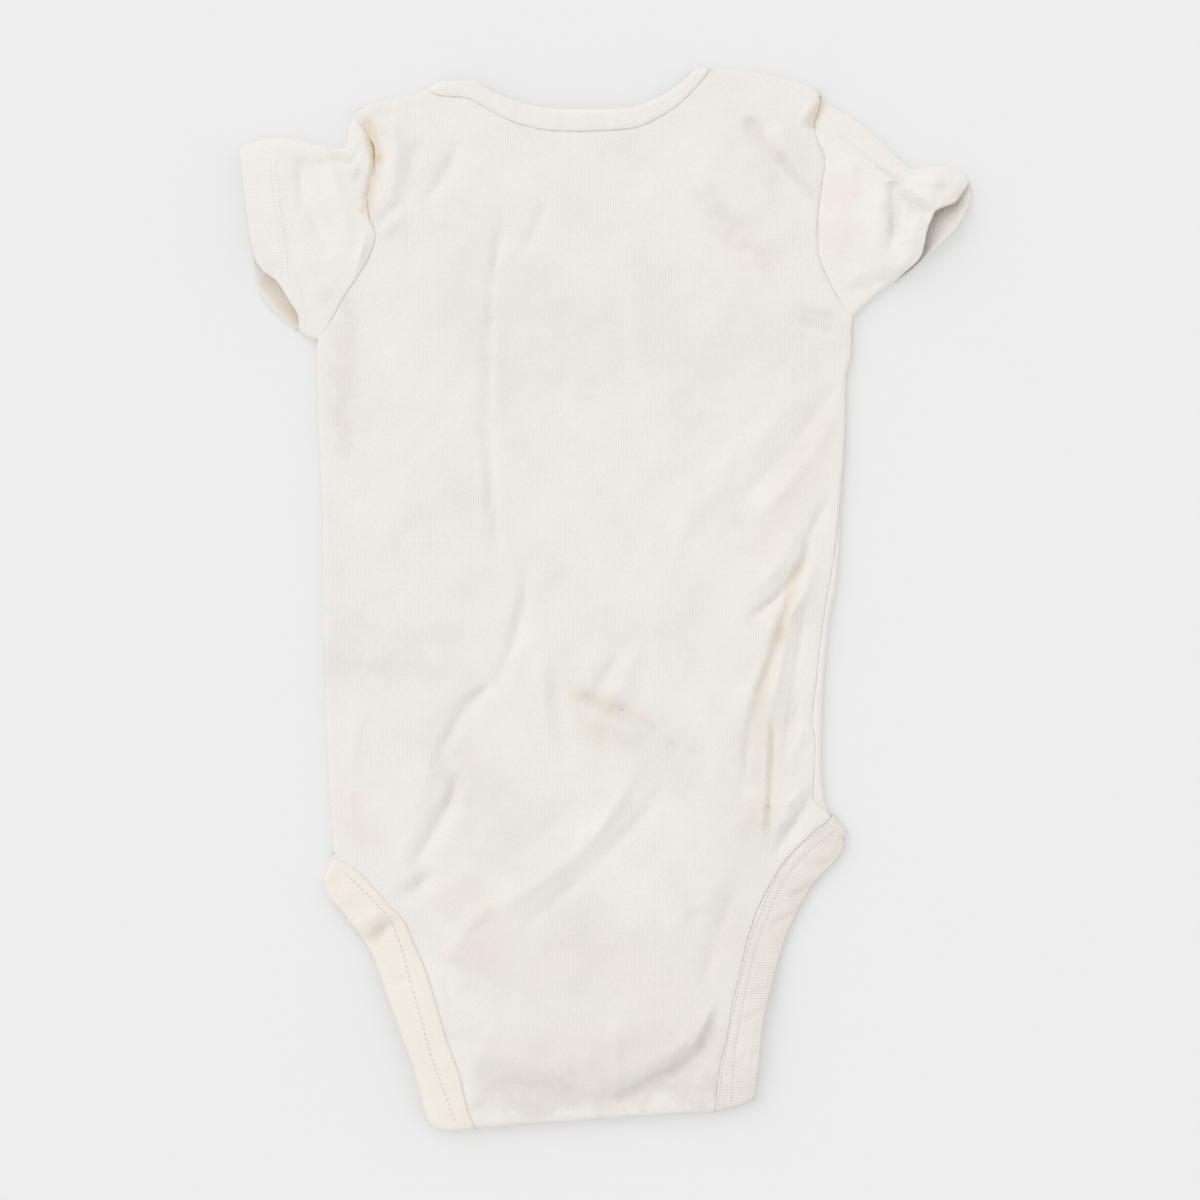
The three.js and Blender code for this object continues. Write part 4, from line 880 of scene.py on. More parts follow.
# Columns over the top of a sleeve, round the underarm, back underneath and round the upper edge
SLEEVE_BREAKS = (0, 0.46, 0.5, 0.96, 1)
HEM_DEPTH, HEM_STEP, HEM_RISE = 13.0, 2, 0.45  # the turned hem, the step up to it, its height
SWELL_START, SWELL_SPAN = 0.1, 0.62  # part of a half sine by which a sleeve swells along its length
SWELL_POWER, HEM_POWER, MOUTH_POWER = 0.9, 0.5, 3  # of the swell and hem across, the puff along it
ARMHOLE_DITCH = 0.5
CREASE_EDGE = 0.35  # a sleeve's creases are full where its swell passes this share
LEDGE_SOFT = 1.2  # width of the step down to the strip at its ledge
LIP_POWER = 8  # how late the lower layer lifts towards the open cuff
SIDE_PULL = 3  # how fast the sideways bends of a sleeve's outline fade towards its middle


def sleeve_layers(form):
    """Plans of the top and bottom layers of a sleeve, by share across t and along s."""
    first, last = np.array([0.0]), np.array([1.0])
    armhole_top, armhole_low = form["armhole"](first), form["armhole"](last)
    upper_step = armhole_top - form["upper"](first)
    under_step = armhole_low - form["under"](first)

    def plan(hem, t, s):
        s = s[:, None]
        across = mix(form["armhole"](t), hem(t), s)
        upper = form["upper"](s[:, 0]) + upper_step * (1 - s) - mix(armhole_top, hem(first), s)
        under = form["under"](s[:, 0]) + under_step * (1 - s) - mix(armhole_low, hem(last), s)
        near, far = (np.stack([share**SIDE_PULL, share], axis=-1) for share in (1 - t, t))
        return across + upper * near + under * far

    return (
        lambda t, s: plan(form["hem_top"], t, s),
        lambda t, s: plan(form["hem_under"], t, s),
    )


def sleeve_top(form, tau, s, x, y):
    """Height of the top layer of a sleeve above its folded edges."""
    profile = np.sin(np.pi * np.clip(tau, 0, 1))
    swell = form["swell"] * np.sin(np.pi * (SWELL_START + SWELL_SPAN * s)) + form["mouth"] * s**MOUTH_POWER
    creases = fold_height(form["folds"], x, y) * smooth(profile, 0, CREASE_EDGE)
    length = np.linalg.norm(form["upper"](np.array([1.0])) - form["upper"](np.array([0.0])))
    step = smooth(s, 1 - HEM_DEPTH / length, 1 - (HEM_DEPTH - HEM_STEP) / length)
    hem = HEM_RISE * step * form["hem_edge"] * profile**HEM_POWER
    return profile**SWELL_POWER * swell + creases + hem + ditch(s * length, ARMHOLE_DITCH) * profile


def place_sleeve(form):
    """Sleeve tube from the armhole to the hem, over the top and back underneath."""
    top, bottom = sleeve_layers(form)

    def place(u, v):
        ring, s = 1 - u if form["leftward"] else u, v
        width = np.linalg.norm(form["upper"](s) - form["under"](s), axis=-1)
        edge = FOLD / width
        tau = between(ring, SLEEVE_BREAKS, (0, 1, 1, 0, 0))
        far = between(ring, SLEEVE_BREAKS, (0, 0, np.pi, np.pi, np.pi))
        near = between(ring, SLEEVE_BREAKS, (0, 0, 0, 0, np.pi))
        angle = np.pi / 2 - far + near
        bulge = edge * (1 - np.cos(angle))
        t = mix(edge, 1 - edge, tau)
        at_far = (far > 0) & (far < np.pi)
        at_near = near > 0
        t = np.where(at_far, 1 - edge + (edge - bulge), np.where(at_near, bulge, t))
        blend = (1 - np.sin(angle)) / 2
        plan = mix(top(t, s), bottom(t, s), blend[:, None])
        lift = sleeve_top(form, tau, s, plan[:, 0], plan[:, 1]) * (1 - blend)
        lip = form["lip"] * s**LIP_POWER * blend * np.sin(np.pi * tau)
        z = FOLD + FOLD * np.sin(angle) + np.where(at_far | at_near, 0, lift + lip)
        beyond = smooth(plan[:, 1] - form["ledge"](plan[:, 0]), 0, LEDGE_SOFT) if form["ledge"] else 0
        z = z - form["ledge_drop"] * beyond * (blend < 0.5) * smooth(z, *ON_TOP)
        turn = np.radians(form["lies"])
        along = plan[:, 0] * np.cos(turn) + plan[:, 1] * np.sin(turn)
        around = plan[:, 0] * np.sin(turn) - plan[:, 1] * np.cos(turn)
        around = np.where(blend > 0.5, 2 * form["underarm"] - around, around)
        return np.column_stack([plan, z]), np.stack([around, along], axis=-1)

    return place


def armhole(edge, low, high, outward, first):
    """Armhole line from the shoulder to the armpit, set off from the body by its ditch."""
    line = [LineRow(row.x - outward * TUCK, row.y) for row in reversed(edge) if low < row.y < high]
    return Path([LineRow(first[0] - outward * TUCK, first[1]), *line])


# A sleeve's outlines; the way it lies and where its pattern folds over, in degrees and millimetres;
# its swell, its puff at the cuff and the lift of its lower layer there; its creases, hem and ledge
LEFT_FORM = {
    "armhole": armhole(LEFT_EDGE, 98, 183, -1, (-95.9, 184.4)),
    "upper": Path(LEFT_UPPER), "under": Path(LEFT_UNDER),
    "hem_top": Path(LEFT_HEM_TOP), "hem_under": Path(LEFT_HEM_UNDER),
    "lies": 176, "underarm": 90, "swell": 1.6, "mouth": 0.4, "folds": LEFT_SLEEVE_FOLDS,
    "leftward": True, "ledge": None, "ledge_drop": 0, "hem_edge": 1, "lip": 1.0,
}
# Line on the right sleeve beyond which its front shows as a lower strip
RIGHT_LEDGE = rows(LineRow, [
    (79, 178.4), (86.1, 177.3), (90.5, 174.6), (95.4, 171), (103.2, 164.9), (110.8, 160), (113, 172),
    (140, 190),
])
RIGHT_FORM = {
    "armhole": armhole(RIGHT_EDGE, 106, 190, 1, (82.6, 191.9)),
    "upper": Path(RIGHT_UPPER), "under": Path(RIGHT_UNDER),
    "hem_top": Path(RIGHT_HEM_TOP), "hem_under": Path(RIGHT_HEM_UNDER),
    "lies": -20, "underarm": -143, "swell": 3.2, "mouth": 2.8, "folds": RIGHT_SLEEVE_FOLDS,
    "leftward": False, "ledge": Curve(RIGHT_LEDGE, "x", "y"), "ledge_drop": 1.3, "hem_edge": 0,
    "lip": 7.0,
}


class Grid(NamedTuple):
    """Cells of a sheet of cloth, and its wall in metres."""
    columns: int
    rows: int
    wall: float


def add_piece(name, bm, material=None):
    """New piece in the scene, of a finished mesh."""
    mesh = bpy.data.meshes.new(name)
    bm.to_mesh(mesh)
    bm.free()
    if material:
        mesh.materials.append(material)
    piece = bpy.data.objects.new(name, mesh)
    bpy.context.scene.collection.objects.link(piece)
    return piece


def cloth(name, settings, place, ring=False):
    """Sheet of cloth on a grid whose corners are laid by place, with its flat pattern as its UV map."""
    bm = bmesh.new()
    bmesh.ops.create_grid(bm, x_segments=settings.columns, y_segments=settings.rows, size=0.5)
    bm.verts.index_update()
    shares = np.array([vert.co[:2] for vert in bm.verts]) + 0.5
    points, flat = place(shares[:, 0], shares[:, 1])
    for vert, point in zip(bm.verts, points * MM):
        vert.co = point
    pattern = bm.loops.layers.uv.new("pattern")
    for face in bm.faces:
        face.smooth = True
        for loop in face.loops:
            loop[pattern].uv = flat[loop.vert.index] * MM
    if ring:
        bmesh.ops.remove_doubles(bm, verts=bm.verts, dist=WELD)
    piece = add_piece(name, bm)
    wall = piece.modifiers.new("Wall", "SOLIDIFY")
    wall.thickness = settings.wall
    wall.offset = -1
    return piece


class Cut(NamedTuple):
    """Flat cut of a piece of cloth in metres and square metres."""
    width: float
    length: float
    area: float


def settle(piece, node, material):
    """Gives a piece of cloth its material and ties it to its part of the frame."""
    piece.data.materials.append(material)
    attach(piece, BODY)
    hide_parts(node)


STITCH_SIDES, STITCH_RINGS = 8, 5  # faces round a stitch and along it
STITCH_AHEAD = 0.01  # share of its line over which a stitch's direction is taken


def stitches(name, runs, context, material):
    """Rows of small stitches as one mesh: each run gives its points, and the height of its cloth."""
    sewing = context.scene.bodysuit_stitches
    shape = Matrix.Diagonal((sewing.length, sewing.width, sewing.rise, 1))
    bm = bmesh.new()
    for path, spacing, height in runs:
        count = int(path.length / spacing)
        shares = (np.arange(count) + 0.5) / count
        centres = path(shares)
        ahead = path(np.minimum(shares + STITCH_AHEAD, 1)) - path(shares - STITCH_AHEAD)
        levels = height(centres[:, 0], centres[:, 1])
        for centre, run, level in zip(centres, ahead, levels):
            turn = Matrix.Rotation(np.arctan2(run[1], run[0]), 4, "Z")
            place = Matrix.Translation(Vector((*centre, level)) * MM)
            bmesh.ops.create_uvsphere(
                bm, u_segments=STITCH_SIDES, v_segments=STITCH_RINGS, radius=1,
                matrix=place @ turn @ shape,
            )
    for face in bm.faces:
        face.smooth = True
    piece = add_piece(name, bm, material)
    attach(piece, BODY)
    return piece


def put(tree, socket, value):
    """Links a socket to another, or sets its constant."""
    if isinstance(value, bpy.types.NodeSocket):
        tree.links.new(value, socket)
    elif value is not None:
        socket.default_value = value


def maths(tree, operation, a, b=None):
    """Math node on one or two values."""
    node = tree.nodes.new("ShaderNodeMath")
    node.operation = operation
    put(tree, node.inputs[0], a)
    put(tree, node.inputs[1], b)
    return node.outputs[0]


def times(tree, a, b):
    """Product of two values."""
    return maths(tree, "MULTIPLY", a, b)


def plus(tree, a, b):
    """Sum of two values."""
    return maths(tree, "ADD", a, b)


def steepened(tree, value, start, steep):
    """How far a value is past a start, made steeper."""
    return times(tree, maths(tree, "SUBTRACT", value, start), steep)


def vectors(tree, operation, a, b=None, scale=None):
    """Vector Math node on one or two vectors, and a factor."""
    node = tree.nodes.new("ShaderNodeVectorMath")
    node.operation = operation
    put(tree, node.inputs[0], a)
    put(tree, node.inputs[1], b)
    if scale is not None:
        put(tree, node.inputs["Scale"], scale)
    return node.outputs["Value" if operation in ("DOT_PRODUCT", "DISTANCE") else "Vector"]


def noise(tree, where, scale, detail, output="Fac"):
    """Value of a noise texture, or its colour."""
    node = tree.nodes.new("ShaderNodeTexNoise")
    put(tree, node.inputs["Vector"], where)
    node.inputs["Scale"].default_value = scale
    node.inputs["Detail"].default_value = detail
    return node.outputs[output]


def tinted(tree, colour, amount, tint):
    """Colour multiplied by a tint, by amount."""
    node = tree.nodes.new("ShaderNodeMix")
    node.data_type = "RGBA"
    node.blend_type = "MULTIPLY"
    put(tree, node.inputs["Factor"], amount)
    put(tree, node.inputs["A"], colour)
    put(tree, node.inputs["B"], (*tint, 1))
    return node.outputs["Result"]


def streak_mask(tree, where, row):
    """Soft mask along a line, full on it and gone a width away."""
    run = Vector((row.x1 - row.x0, row.y1 - row.y0, 0)) * MM
    away = vectors(tree, "SUBTRACT", where, (row.x0 * MM, row.y0 * MM, 0))
    share = times(tree, vectors(tree, "DOT_PRODUCT", away, run), 1 / run.length_squared)
    held = maths(tree, "MINIMUM", maths(tree, "MAXIMUM", share, 0.0), 1.0)
    distance = vectors(tree, "DISTANCE", away, vectors(tree, "SCALE", run, scale=held))
    fade = tree.nodes.new("ShaderNodeMapRange")
    fade.interpolation_type = "SMOOTHERSTEP"
    put(tree, fade.inputs["Value"], distance)
    fade.inputs["From Max"].default_value = row.width * MM
    fade.inputs["To Min"].default_value = row.amount
    fade.inputs["To Max"].default_value = 0
    return fade.outputs["Result"]


# Tints of the streaks: the warm one paints the warm shade of deep folds and recesses, the last plain shade
WARM_SHADE, PEACH, PINK, GREY, BROWN, SHADE = (
    (0.93, 0.86, 0.74), (0.98, 0.93, 0.88), (0.99, 0.95, 0.93), (0.945, 0.96, 0.97), (0.95, 0.91, 0.85),
    (0.9, 0.885, 0.88),
)
BODY_STREAKS = rows(Streak, [
    # Painted warm shade in the deep fold along the left armhole
    (-89.5, 181, -86, 168, 4.0, 0.9, WARM_SHADE), (-86, 168, -91.5, 146, 3.6, 0.8, WARM_SHADE),
    # Down the right valley, here and in the first row of the next line: painted warm shade of its floor
    # with a light stain
    (73, 12, 66, -14, 4.0, 0.5, WARM_SHADE), (66, -14, 58, -38, 5, 0.35, WARM_SHADE), (60, -36, 57, -84, 6, 0.2, WARM_SHADE),
    (63.5, -46, 61, -90, 2.2, 0.45, WARM_SHADE), (39, -160, 36, -168, 3.5, 0.5, SHADE),
    (36, -168, 26, -178, 4, 0.6, SHADE), (26, -178, 6, -188, 4.5, 0.6, SHADE),
    (54, 182, 66, 168, 4.5, 0.5, SHADE), (66, 168, 78, 154, 4, 0.6, SHADE),
    (38, 156, 58, 130, 8, 0.4, SHADE), (76, 106, 94, 102, 4, 0.5, SHADE),
    # The warm row is painted shade in the fold at the top of the right armhole
    (50, 135, 62, 132, 9, 0.35, PEACH), (83, 190, 78.5, 180, 3, 0.8, WARM_SHADE),
    # The brown and warm rows: painted shade along the deep crease across the middle of the back, and just
    # below it
    (-10, -36, 2, -41, 5.5, 0.6, BROWN), (2, -41, 14, -45, 5, 0.5, BROWN), (-8, -48, 4, -52, 8, 0.3, WARM_SHADE),
    (-57, -112, -44, -120, 12, 0.4, PEACH), (-55, -132, -44, -136, 10, 0.4, PEACH),
    (-98, -78, -92, -90, 11, 0.4, PEACH), (-101, -9, -55, -14, 10, 0.7, GREY),
    (-101, -21, -55, -26, 10, 0.7, GREY), (-104, -22, -60, -40, 20, 0.3, GREY),
    (-50, 110, 40, 95, 38, 0.5, GREY), (40, -164, 33, -172, 9, 0.3, PEACH),
    (-62, -60, -74, -98, 5, 0.4, SHADE), (82, 60, 60, 20, 14, 0.25, PEACH),
    (60, -50, 48, -120, 20, 0.25, SHADE), (-40, -176, 40, -172, 24, 0.65, SHADE),
    (-46, -190, 42, -186, 9, 0.8, SHADE), (-40, -140, 40, -140, 32, 0.4, SHADE),
    (-98, 140, -98, 60, 9, 0.5, SHADE), (-10, -42, 30, -68, 24, 0.3, SHADE),
    (-52, -62, -10, -120, 20, 0.3, SHADE),
])
LEFT_STREAKS = rows(Streak, [
    # Painted warm shade in the deep fold along the left armhole
    (-90.5, 180, -87.5, 168, 3.6, 0.9, WARM_SHADE), (-87.5, 168, -91.8, 148, 2.6, 0.8, WARM_SHADE),
    # The warm row is painted shade on the lower layer where the edge of the upper layer's hem overhangs it
    (-129, 121, -118, 107, 4, 0.9, WARM_SHADE), (-112, 168, -97, 167, 7, 0.7, SHADE),
])
RIGHT_STREAKS = rows(Streak, [
    # The warm row here is a painted shadow that the sleeve casts on the lower strip beyond its ledge
    (88, 158, 88, 136, 13, 0.7, PINK), (104, 164, 111, 160, 2.5, 0.4, WARM_SHADE),
    # Painted warm shade under the cuff's upper lip and in the fold at the top of the right armhole
    (134, 154, 126, 144, 4, 0.5, WARM_SHADE), (83.5, 189, 79, 180, 3, 0.8, WARM_SHADE),
    # The peach row paints the warm shade inside the cuff's open mouth
    (136, 150, 122, 134, 5, 0.35, PEACH), (111, 157, 109, 140, 4, 0.5, SHADE),
    (114, 153, 124, 148, 4, 0.5, SHADE),
])
CUFF_NAP = rows(Streak, [(116, 150, 134, 146, 20, 20.0, (1, 1, 1))])
LEFT_LEG_STREAKS = rows(Streak, [
    # Painted shade and warm shade in the pucker of the left leg binding
    (-88, -128, -81, -122, 4.5, 0.8, SHADE), (-88, -129, -84, -125.5, 2.5, 0.3, WARM_SHADE),
])
RIGHT_LEG_STREAKS = rows(Streak, [(72, -116, 66, -130, 9, 0.5, PINK), (86, -92, 80, -98, 8, 0.5, PINK)])


class Knit(NamedTuple):
    """Look of a knit: lengths in millimetres, fuzz and the painted shade of its grooves as shares."""
    colour: tuple
    pitch: float
    depth: float
    across: bool
    fuzz: float
    groove_shade: float


class Mottle(NamedTuple):
    """Fine unevenness of worn knit: how high its patches are, what they and the grain darken."""
    height: float
    shade: float
    grain: float


class Noise(NamedTuple):
    """Noise texture: patches per metre and how finely it is detailed."""
    per_metre: float
    detail: float


STREAK_REACH = (24, 5)  # how far the outlines of wide streaks and of narrow ones wander, stains and painted shade alike
STREAK_WANDER = Noise(90, 5)
NARROW_STREAK = 6.5
NAP, FUZZ, GRAIN = Noise(800, 3), Noise(1400, 3), Noise(900, 3)
PATCHES = Noise(160, 4)
PATCH_DARKENS, GRAIN_DARKENS = (0.3, 2.0), (0.35, 3.0)  # from these values of their noise, this steeply
RIB_SWAY, RIB_REACH = Noise(60, 2), 0.0004  # the ribs wander sideways by this many metres
RIB_FADING, RIB_RELIEF = Noise(45, 2), 2.0  # the ribs come and go, and stand out this much
LOOP_PITCH, LOOP_RELIEF = 0.8, 0.25  # length and relief of a loop, as shares of its rib's
YELLOWING, YELLOWED = Noise(25, 2), 0.4
# Painted shade in the grooves between the ribs
GROOVE_SHADE_TINT = (0.9, 0.86, 0.8)
MATT, SHINE, SHEEN, SHEEN_SPREAD = 0.95, 0.15, 0.12, 0.6


def colour_node(tree, colour):
    """Colour that other nodes build on."""
    node = tree.nodes.new("ShaderNodeRGB")
    node.outputs[0].default_value = (*colour, 1)
    return node.outputs[0]


def principled(name):
    """New material with its nodes and its shader."""
    material = bpy.data.materials.new(name)
    material.use_nodes = True
    return material, material.node_tree, material.node_tree.nodes["Principled BSDF"]


def knit_relief(tree, knit, flat, patches, nap):
    """Relief of the ribs, loops, fuzz and nap, and how strongly the ribs stand out."""
    pattern = tree.nodes.new("ShaderNodeUVMap")
    pattern.uv_map = "pattern"
    parts = tree.nodes.new("ShaderNodeSeparateXYZ")
    tree.links.new(pattern.outputs["UV"], parts.inputs["Vector"])
    main, other = ("Y", "X") if knit.across else ("X", "Y")
    rib = plus(tree, parts.outputs[main], times(tree, noise(tree, flat, *RIB_SWAY), RIB_REACH))
    rib = maths(tree, "SINE", times(tree, rib, 2 * np.pi / (knit.pitch * MM)))
    loop = times(tree, parts.outputs[other], 2 * np.pi / (LOOP_PITCH * knit.pitch * MM))
    loop = times(tree, maths(tree, "SINE", loop), LOOP_RELIEF)
    raised = knit.fuzz
    for row in nap:
        raised = plus(tree, streak_mask(tree, flat, row), raised)
    fuzz = times(tree, noise(tree, flat, *(NAP if nap else FUZZ)), raised)
    mottle = times(tree, patches, MOTTLE.height / knit.depth)
    fading = times(tree, plus(tree, rib, loop), noise(tree, flat, *RIB_FADING))
    bump = tree.nodes.new("ShaderNodeBump")
    bump.inputs["Strength"].default_value = 1.0
    bump.inputs["Distance"].default_value = knit.depth * MM
    height = plus(tree, plus(tree, times(tree, fading, RIB_RELIEF), fuzz), mottle)
    put(tree, bump.inputs["Height"], height)
    return bump.outputs["Normal"], fading


def knit_material(name, knit, streaks, nap=()):
    """Cream cotton rib with soft stains and painted shade, and with more nap along the rows of nap."""
    material, tree, shader = principled(name)
    coords = tree.nodes.new("ShaderNodeTexCoord")
    flat = vectors(tree, "MULTIPLY", coords.outputs["Object"], (1, 1, 0))
    patches = noise(tree, flat, *PATCHES)
    normal, fading = knit_relief(tree, knit, flat, patches, nap)
    wander = noise(tree, flat, *STREAK_WANDER, output="Color")
    spread = vectors(tree, "SUBTRACT", wander, (0.5, 0.5, 0.5))
    far, near = (
        vectors(tree, "ADD", flat, vectors(tree, "SCALE", spread, scale=reach * MM))
        for reach in STREAK_REACH
    )
    yellowing = times(tree, noise(tree, flat, *YELLOWING), YELLOWED)
    # The grooves between the ribs get painted shade
    groove_shade = times(tree, maths(tree, "SUBTRACT", 1.0, fading), knit.groove_shade)
    grain = noise(tree, flat, *GRAIN)
    colour = tinted(tree, colour_node(tree, knit.colour), yellowing, BROWN)
    colour = tinted(tree, colour, groove_shade, GROOVE_SHADE_TINT)
    colour = tinted(tree, colour, steepened(tree, patches, *PATCH_DARKENS), (1 - MOTTLE.shade,) * 3)
    colour = tinted(tree, colour, steepened(tree, grain, *GRAIN_DARKENS), (1 - MOTTLE.grain,) * 3)
    for row in streaks:
        where = far if row.width > NARROW_STREAK else near
        colour = tinted(tree, colour, streak_mask(tree, where, row), row.tint)
    put(tree, shader.inputs["Base Color"], colour)
    put(tree, shader.inputs["Normal"], normal)
    shader.inputs["Roughness"].default_value = MATT
    shader.inputs["Specular IOR Level"].default_value = SHINE
    shader.inputs["Sheen Weight"].default_value = SHEEN
    shader.inputs["Sheen Roughness"].default_value = SHEEN_SPREAD
    return material


# Slight unevenness of the other materials
CLOUDS, CLOUDED, CLOUD_TINT = Noise(30, 2), 0.06, (0.9, 0.9, 0.9)


def plain_material(name, colour, roughness, metallic=0.0, glow=0.0):
    """Even material with a slight unevenness of its colour, and a glow if it is lit from below."""
    material, tree, shader = principled(name)
    coords = tree.nodes.new("ShaderNodeTexCoord")
    amount = times(tree, noise(tree, coords.outputs["Object"], *CLOUDS), CLOUDED)
    base = tinted(tree, colour_node(tree, colour), amount, CLOUD_TINT)
    put(tree, shader.inputs["Base Color"], base)
    shader.inputs["Roughness"].default_value = roughness
    shader.inputs["Metallic"].default_value = metallic
    shader.inputs["Emission Color"].default_value = (1, 1, 1, 1)
    shader.inputs["Emission Strength"].default_value = glow
    return material


CREAM = (0.862, 0.836, 0.812)
PEACH_CREAM = (0.865, 0.826, 0.775)
THREAD, THREAD_ROUGHNESS = (0.69, 0.65, 0.6), 0.8
ENAMEL, ENAMEL_ROUGHNESS, ENAMEL_METAL = (0.78, 0.77, 0.74), 0.4, 0.1
FLOOR_ROUGHNESS = 0.9
# Colour, pitch and depth of the ribs, whether they run across, fuzz, darkness of the shade painted into
# the grooves
BODY_KNIT = Knit(CREAM, 1.0, 0.05, False, 1.2, 0.14)
SLEEVE_KNIT = Knit(CREAM, 1.0, 0.022, False, 2.4, 0.14)
SMOOTH_BINDING = Knit(PEACH_CREAM, 0.84, 0.02, True, 1.6, 0.14)
RIBBED_BINDING = Knit(CREAM, 1.0, 0.07, True, 0.4, 0.4)
NECK_BINDING = Knit(CREAM, 0.84, 0.03, True, 1.2, 0.14)
MOTTLE = Mottle(0.2, 0.025, 0.035)


def length_property(name, description, default):
    """Length that a user can change."""
    return FloatProperty(
        name=name, description=description, default=default, min=0.0001, unit="LENGTH"
    )


def count_property(name, default):
    """Number of cells that a user can change."""
    return IntProperty(name=name, description="Cells of the grid of cloth", default=default, min=4)


class BodysuitPanelSettings(bpy.types.PropertyGroup):
    columns: count_property("Columns", 150)
    rows: count_property("Rows", 305)
    front_columns: count_property("Front columns", 84)
    front_rows: count_property("Front rows", 150)
    wall: length_property("Wall", "Thickness of the cloth", 0.001)


class BodysuitSleeveSettings(bpy.types.PropertyGroup):
    columns: count_property("Columns round the sleeve", 180)
    rows: count_property("Rows along the sleeve", 60)
    wall: length_property("Wall", "Thickness of the cloth", 0.001)


class BodysuitBindingSettings(bpy.types.PropertyGroup):
    columns: count_property("Columns across the band", 14)
    rows: count_property("Rows along the band", 260)
    wall: length_property("Wall", "Thickness of the cloth", 0.0012)


class BodysuitStitchSettings(bpy.types.PropertyGroup):
    length: length_property("Length", "Half length of a stitch", 0.0007)
    width: length_property("Width", "Half width of a stitch", 0.00028)
    rise: length_property("Rise", "How far a stitch stands up", 0.00022)


class BodysuitSnapSettings(bpy.types.PropertyGroup):
    spacing: length_property("Spacing", "Distance between snaps", 0.030)
    segments: IntProperty(name="Segments", description="Faces round a snap", default=40, min=8)


class BodysuitStageSettings(bpy.types.PropertyGroup):
    sun: FloatProperty(name="Sun", description="Strength of the soft main light", default=0.85)
    sky: FloatProperty(name="Sky", description="Strength of the even light", default=0.855)
    softness: FloatProperty(
        name="Softness", description="Angle that the main light fills", default=1.1, subtype="ANGLE"
    )
    direction: FloatVectorProperty(
        name="Direction", description="Where the main light comes from", default=(-0.62, 0.62, 1.0),
        subtype="DIRECTION",
    )
    floor: FloatVectorProperty(
        name="Floor", description="Colour of the floor", default=(0.47, 0.47, 0.47), subtype="COLOR"
    )
    glow: FloatProperty(name="Glow", description="Light that comes through the floor", default=0.346)


class BODYSUIT_OT_back(bpy.types.Operator):
    """Adds the back panel with its creases."""
    bl_idname = "bodysuit.back"
    bl_label = "Back panel"

    def execute(self, context):
        settings = context.scene.bodysuit_panels
        piece = cloth("back_cloth", settings, place_back)
        material = knit_material("Body knit", BODY_KNIT, BODY_STREAKS)
        settle(piece, "back_panel", material)
        return {"FINISHED"}


class BODYSUIT_OT_front(bpy.types.Operator):
    """Adds the front panel, which lies underneath and shows along the right side."""
    bl_idname = "bodysuit.front"
    bl_label = "Front panel"

    def execute(self, context):
        settings = context.scene.bodysuit_panels
        grid = Grid(settings.front_columns, settings.front_rows, settings.wall)
        piece = cloth("front_cloth", grid, place_front)
        # The front takes the back's first streaks: painted warm shade of the left armhole fold, and of the
        # right valley with a light stain
        material = knit_material("Front knit", BODY_KNIT, BODY_STREAKS[:6])
        settle(piece, "front_panel", material)
        return {"FINISHED"}


# Stitch lines on the left sleeve, and how far apart the two rows of a hem run
LEFT_HEM_LINE = rows(LineRow, [
    (-127.1, 168), (-125.8, 154.7), (-124.6, 143.3), (-122.5, 127.7), (-122.2, 121.5)
])
HEM_ROWS_APART = 2.2
HEM_STITCH, LEFT_STITCH, RIGHT_STITCH = 1.9, 2.0, 1.7  # from one stitch to the next


class BODYSUIT_OT_sleeves(bpy.types.Operator):
    """Adds both sleeves and the stitches of the hem that lies flat."""
    bl_idname = "bodysuit.sleeves"
    bl_label = "Sleeves"

    def execute(self, context):
        settings = context.scene.bodysuit_sleeves
        left = cloth("left_sleeve_cloth", settings, place_sleeve(LEFT_FORM), ring=True)
        right = cloth("right_sleeve_cloth", settings, place_sleeve(RIGHT_FORM), ring=True)
        knit = knit_material("Left sleeve knit", SLEEVE_KNIT, LEFT_STREAKS)
        nap = knit_material("Right sleeve knit", SLEEVE_KNIT, RIGHT_STREAKS, CUFF_NAP)
        lines = [
            Path([LineRow(row.x + shift, row.y) for row in LEFT_HEM_LINE])
            for shift in (0, HEM_ROWS_APART)
        ]
        runs = [(line, HEM_STITCH, lambda x, y: surface_height(left, x, y)) for line in lines]
        hem = stitches("left_hem_stitches", runs, context, knit)
        settle(left, "left_sleeve", knit)
        settle(right, "right_sleeve", nap)
        return {"FINISHED"}


LOOK_FROM = 60  # height from which a piece is looked down on


def surface_height(piece, x, y):
    """Height of a piece's upper face straight below points, in millimetres."""
    graph = bpy.context.evaluated_depsgraph_get()
    graph.update()
    solid = piece.evaluated_get(graph)
    heights = []
    for px, py in zip(x, y):
        hit, place, _, _ = solid.ray_cast(Vector((px, py, LOOK_FROM)) * MM, Vector((0, 0, -1)))
        heights.append(place.z / MM if hit else EDGE_TOP)
    return np.array(heights)


# Lines of the cover stitch on the leg bindings
LEFT_LEG_LINE = rows(LineRow, [
    (-98.6, -103.5), (-89.9, -111.8), (-80.8, -122.8), (-77, -132.2), (-73.5, -145.2), (-69, -160.4),
    (-65.5, -173.3), (-61, -185.1), (-56.5, -197.5),
])
RIGHT_LEG_SEAM = rows(LineRow, [
    (84.9, -84.5), (81.1, -88), (73.2, -94.4), (66.9, -102.4), (60.5, -116), (54.8, -131.7),
    (51, -146.9), (47.5, -162.8), (44.9, -176.5), (43, -192),
])
RIGHT_LEG_LINE = rows(LineRow, [
    (87.7, -87.5), (84.2, -90), (76.2, -96.6), (70.7, -103), (64, -115), (58.7, -128.5),
    (54.5, -143.5), (51.5, -158.5), (49.2, -172.1), (47.9, -190.8),
])


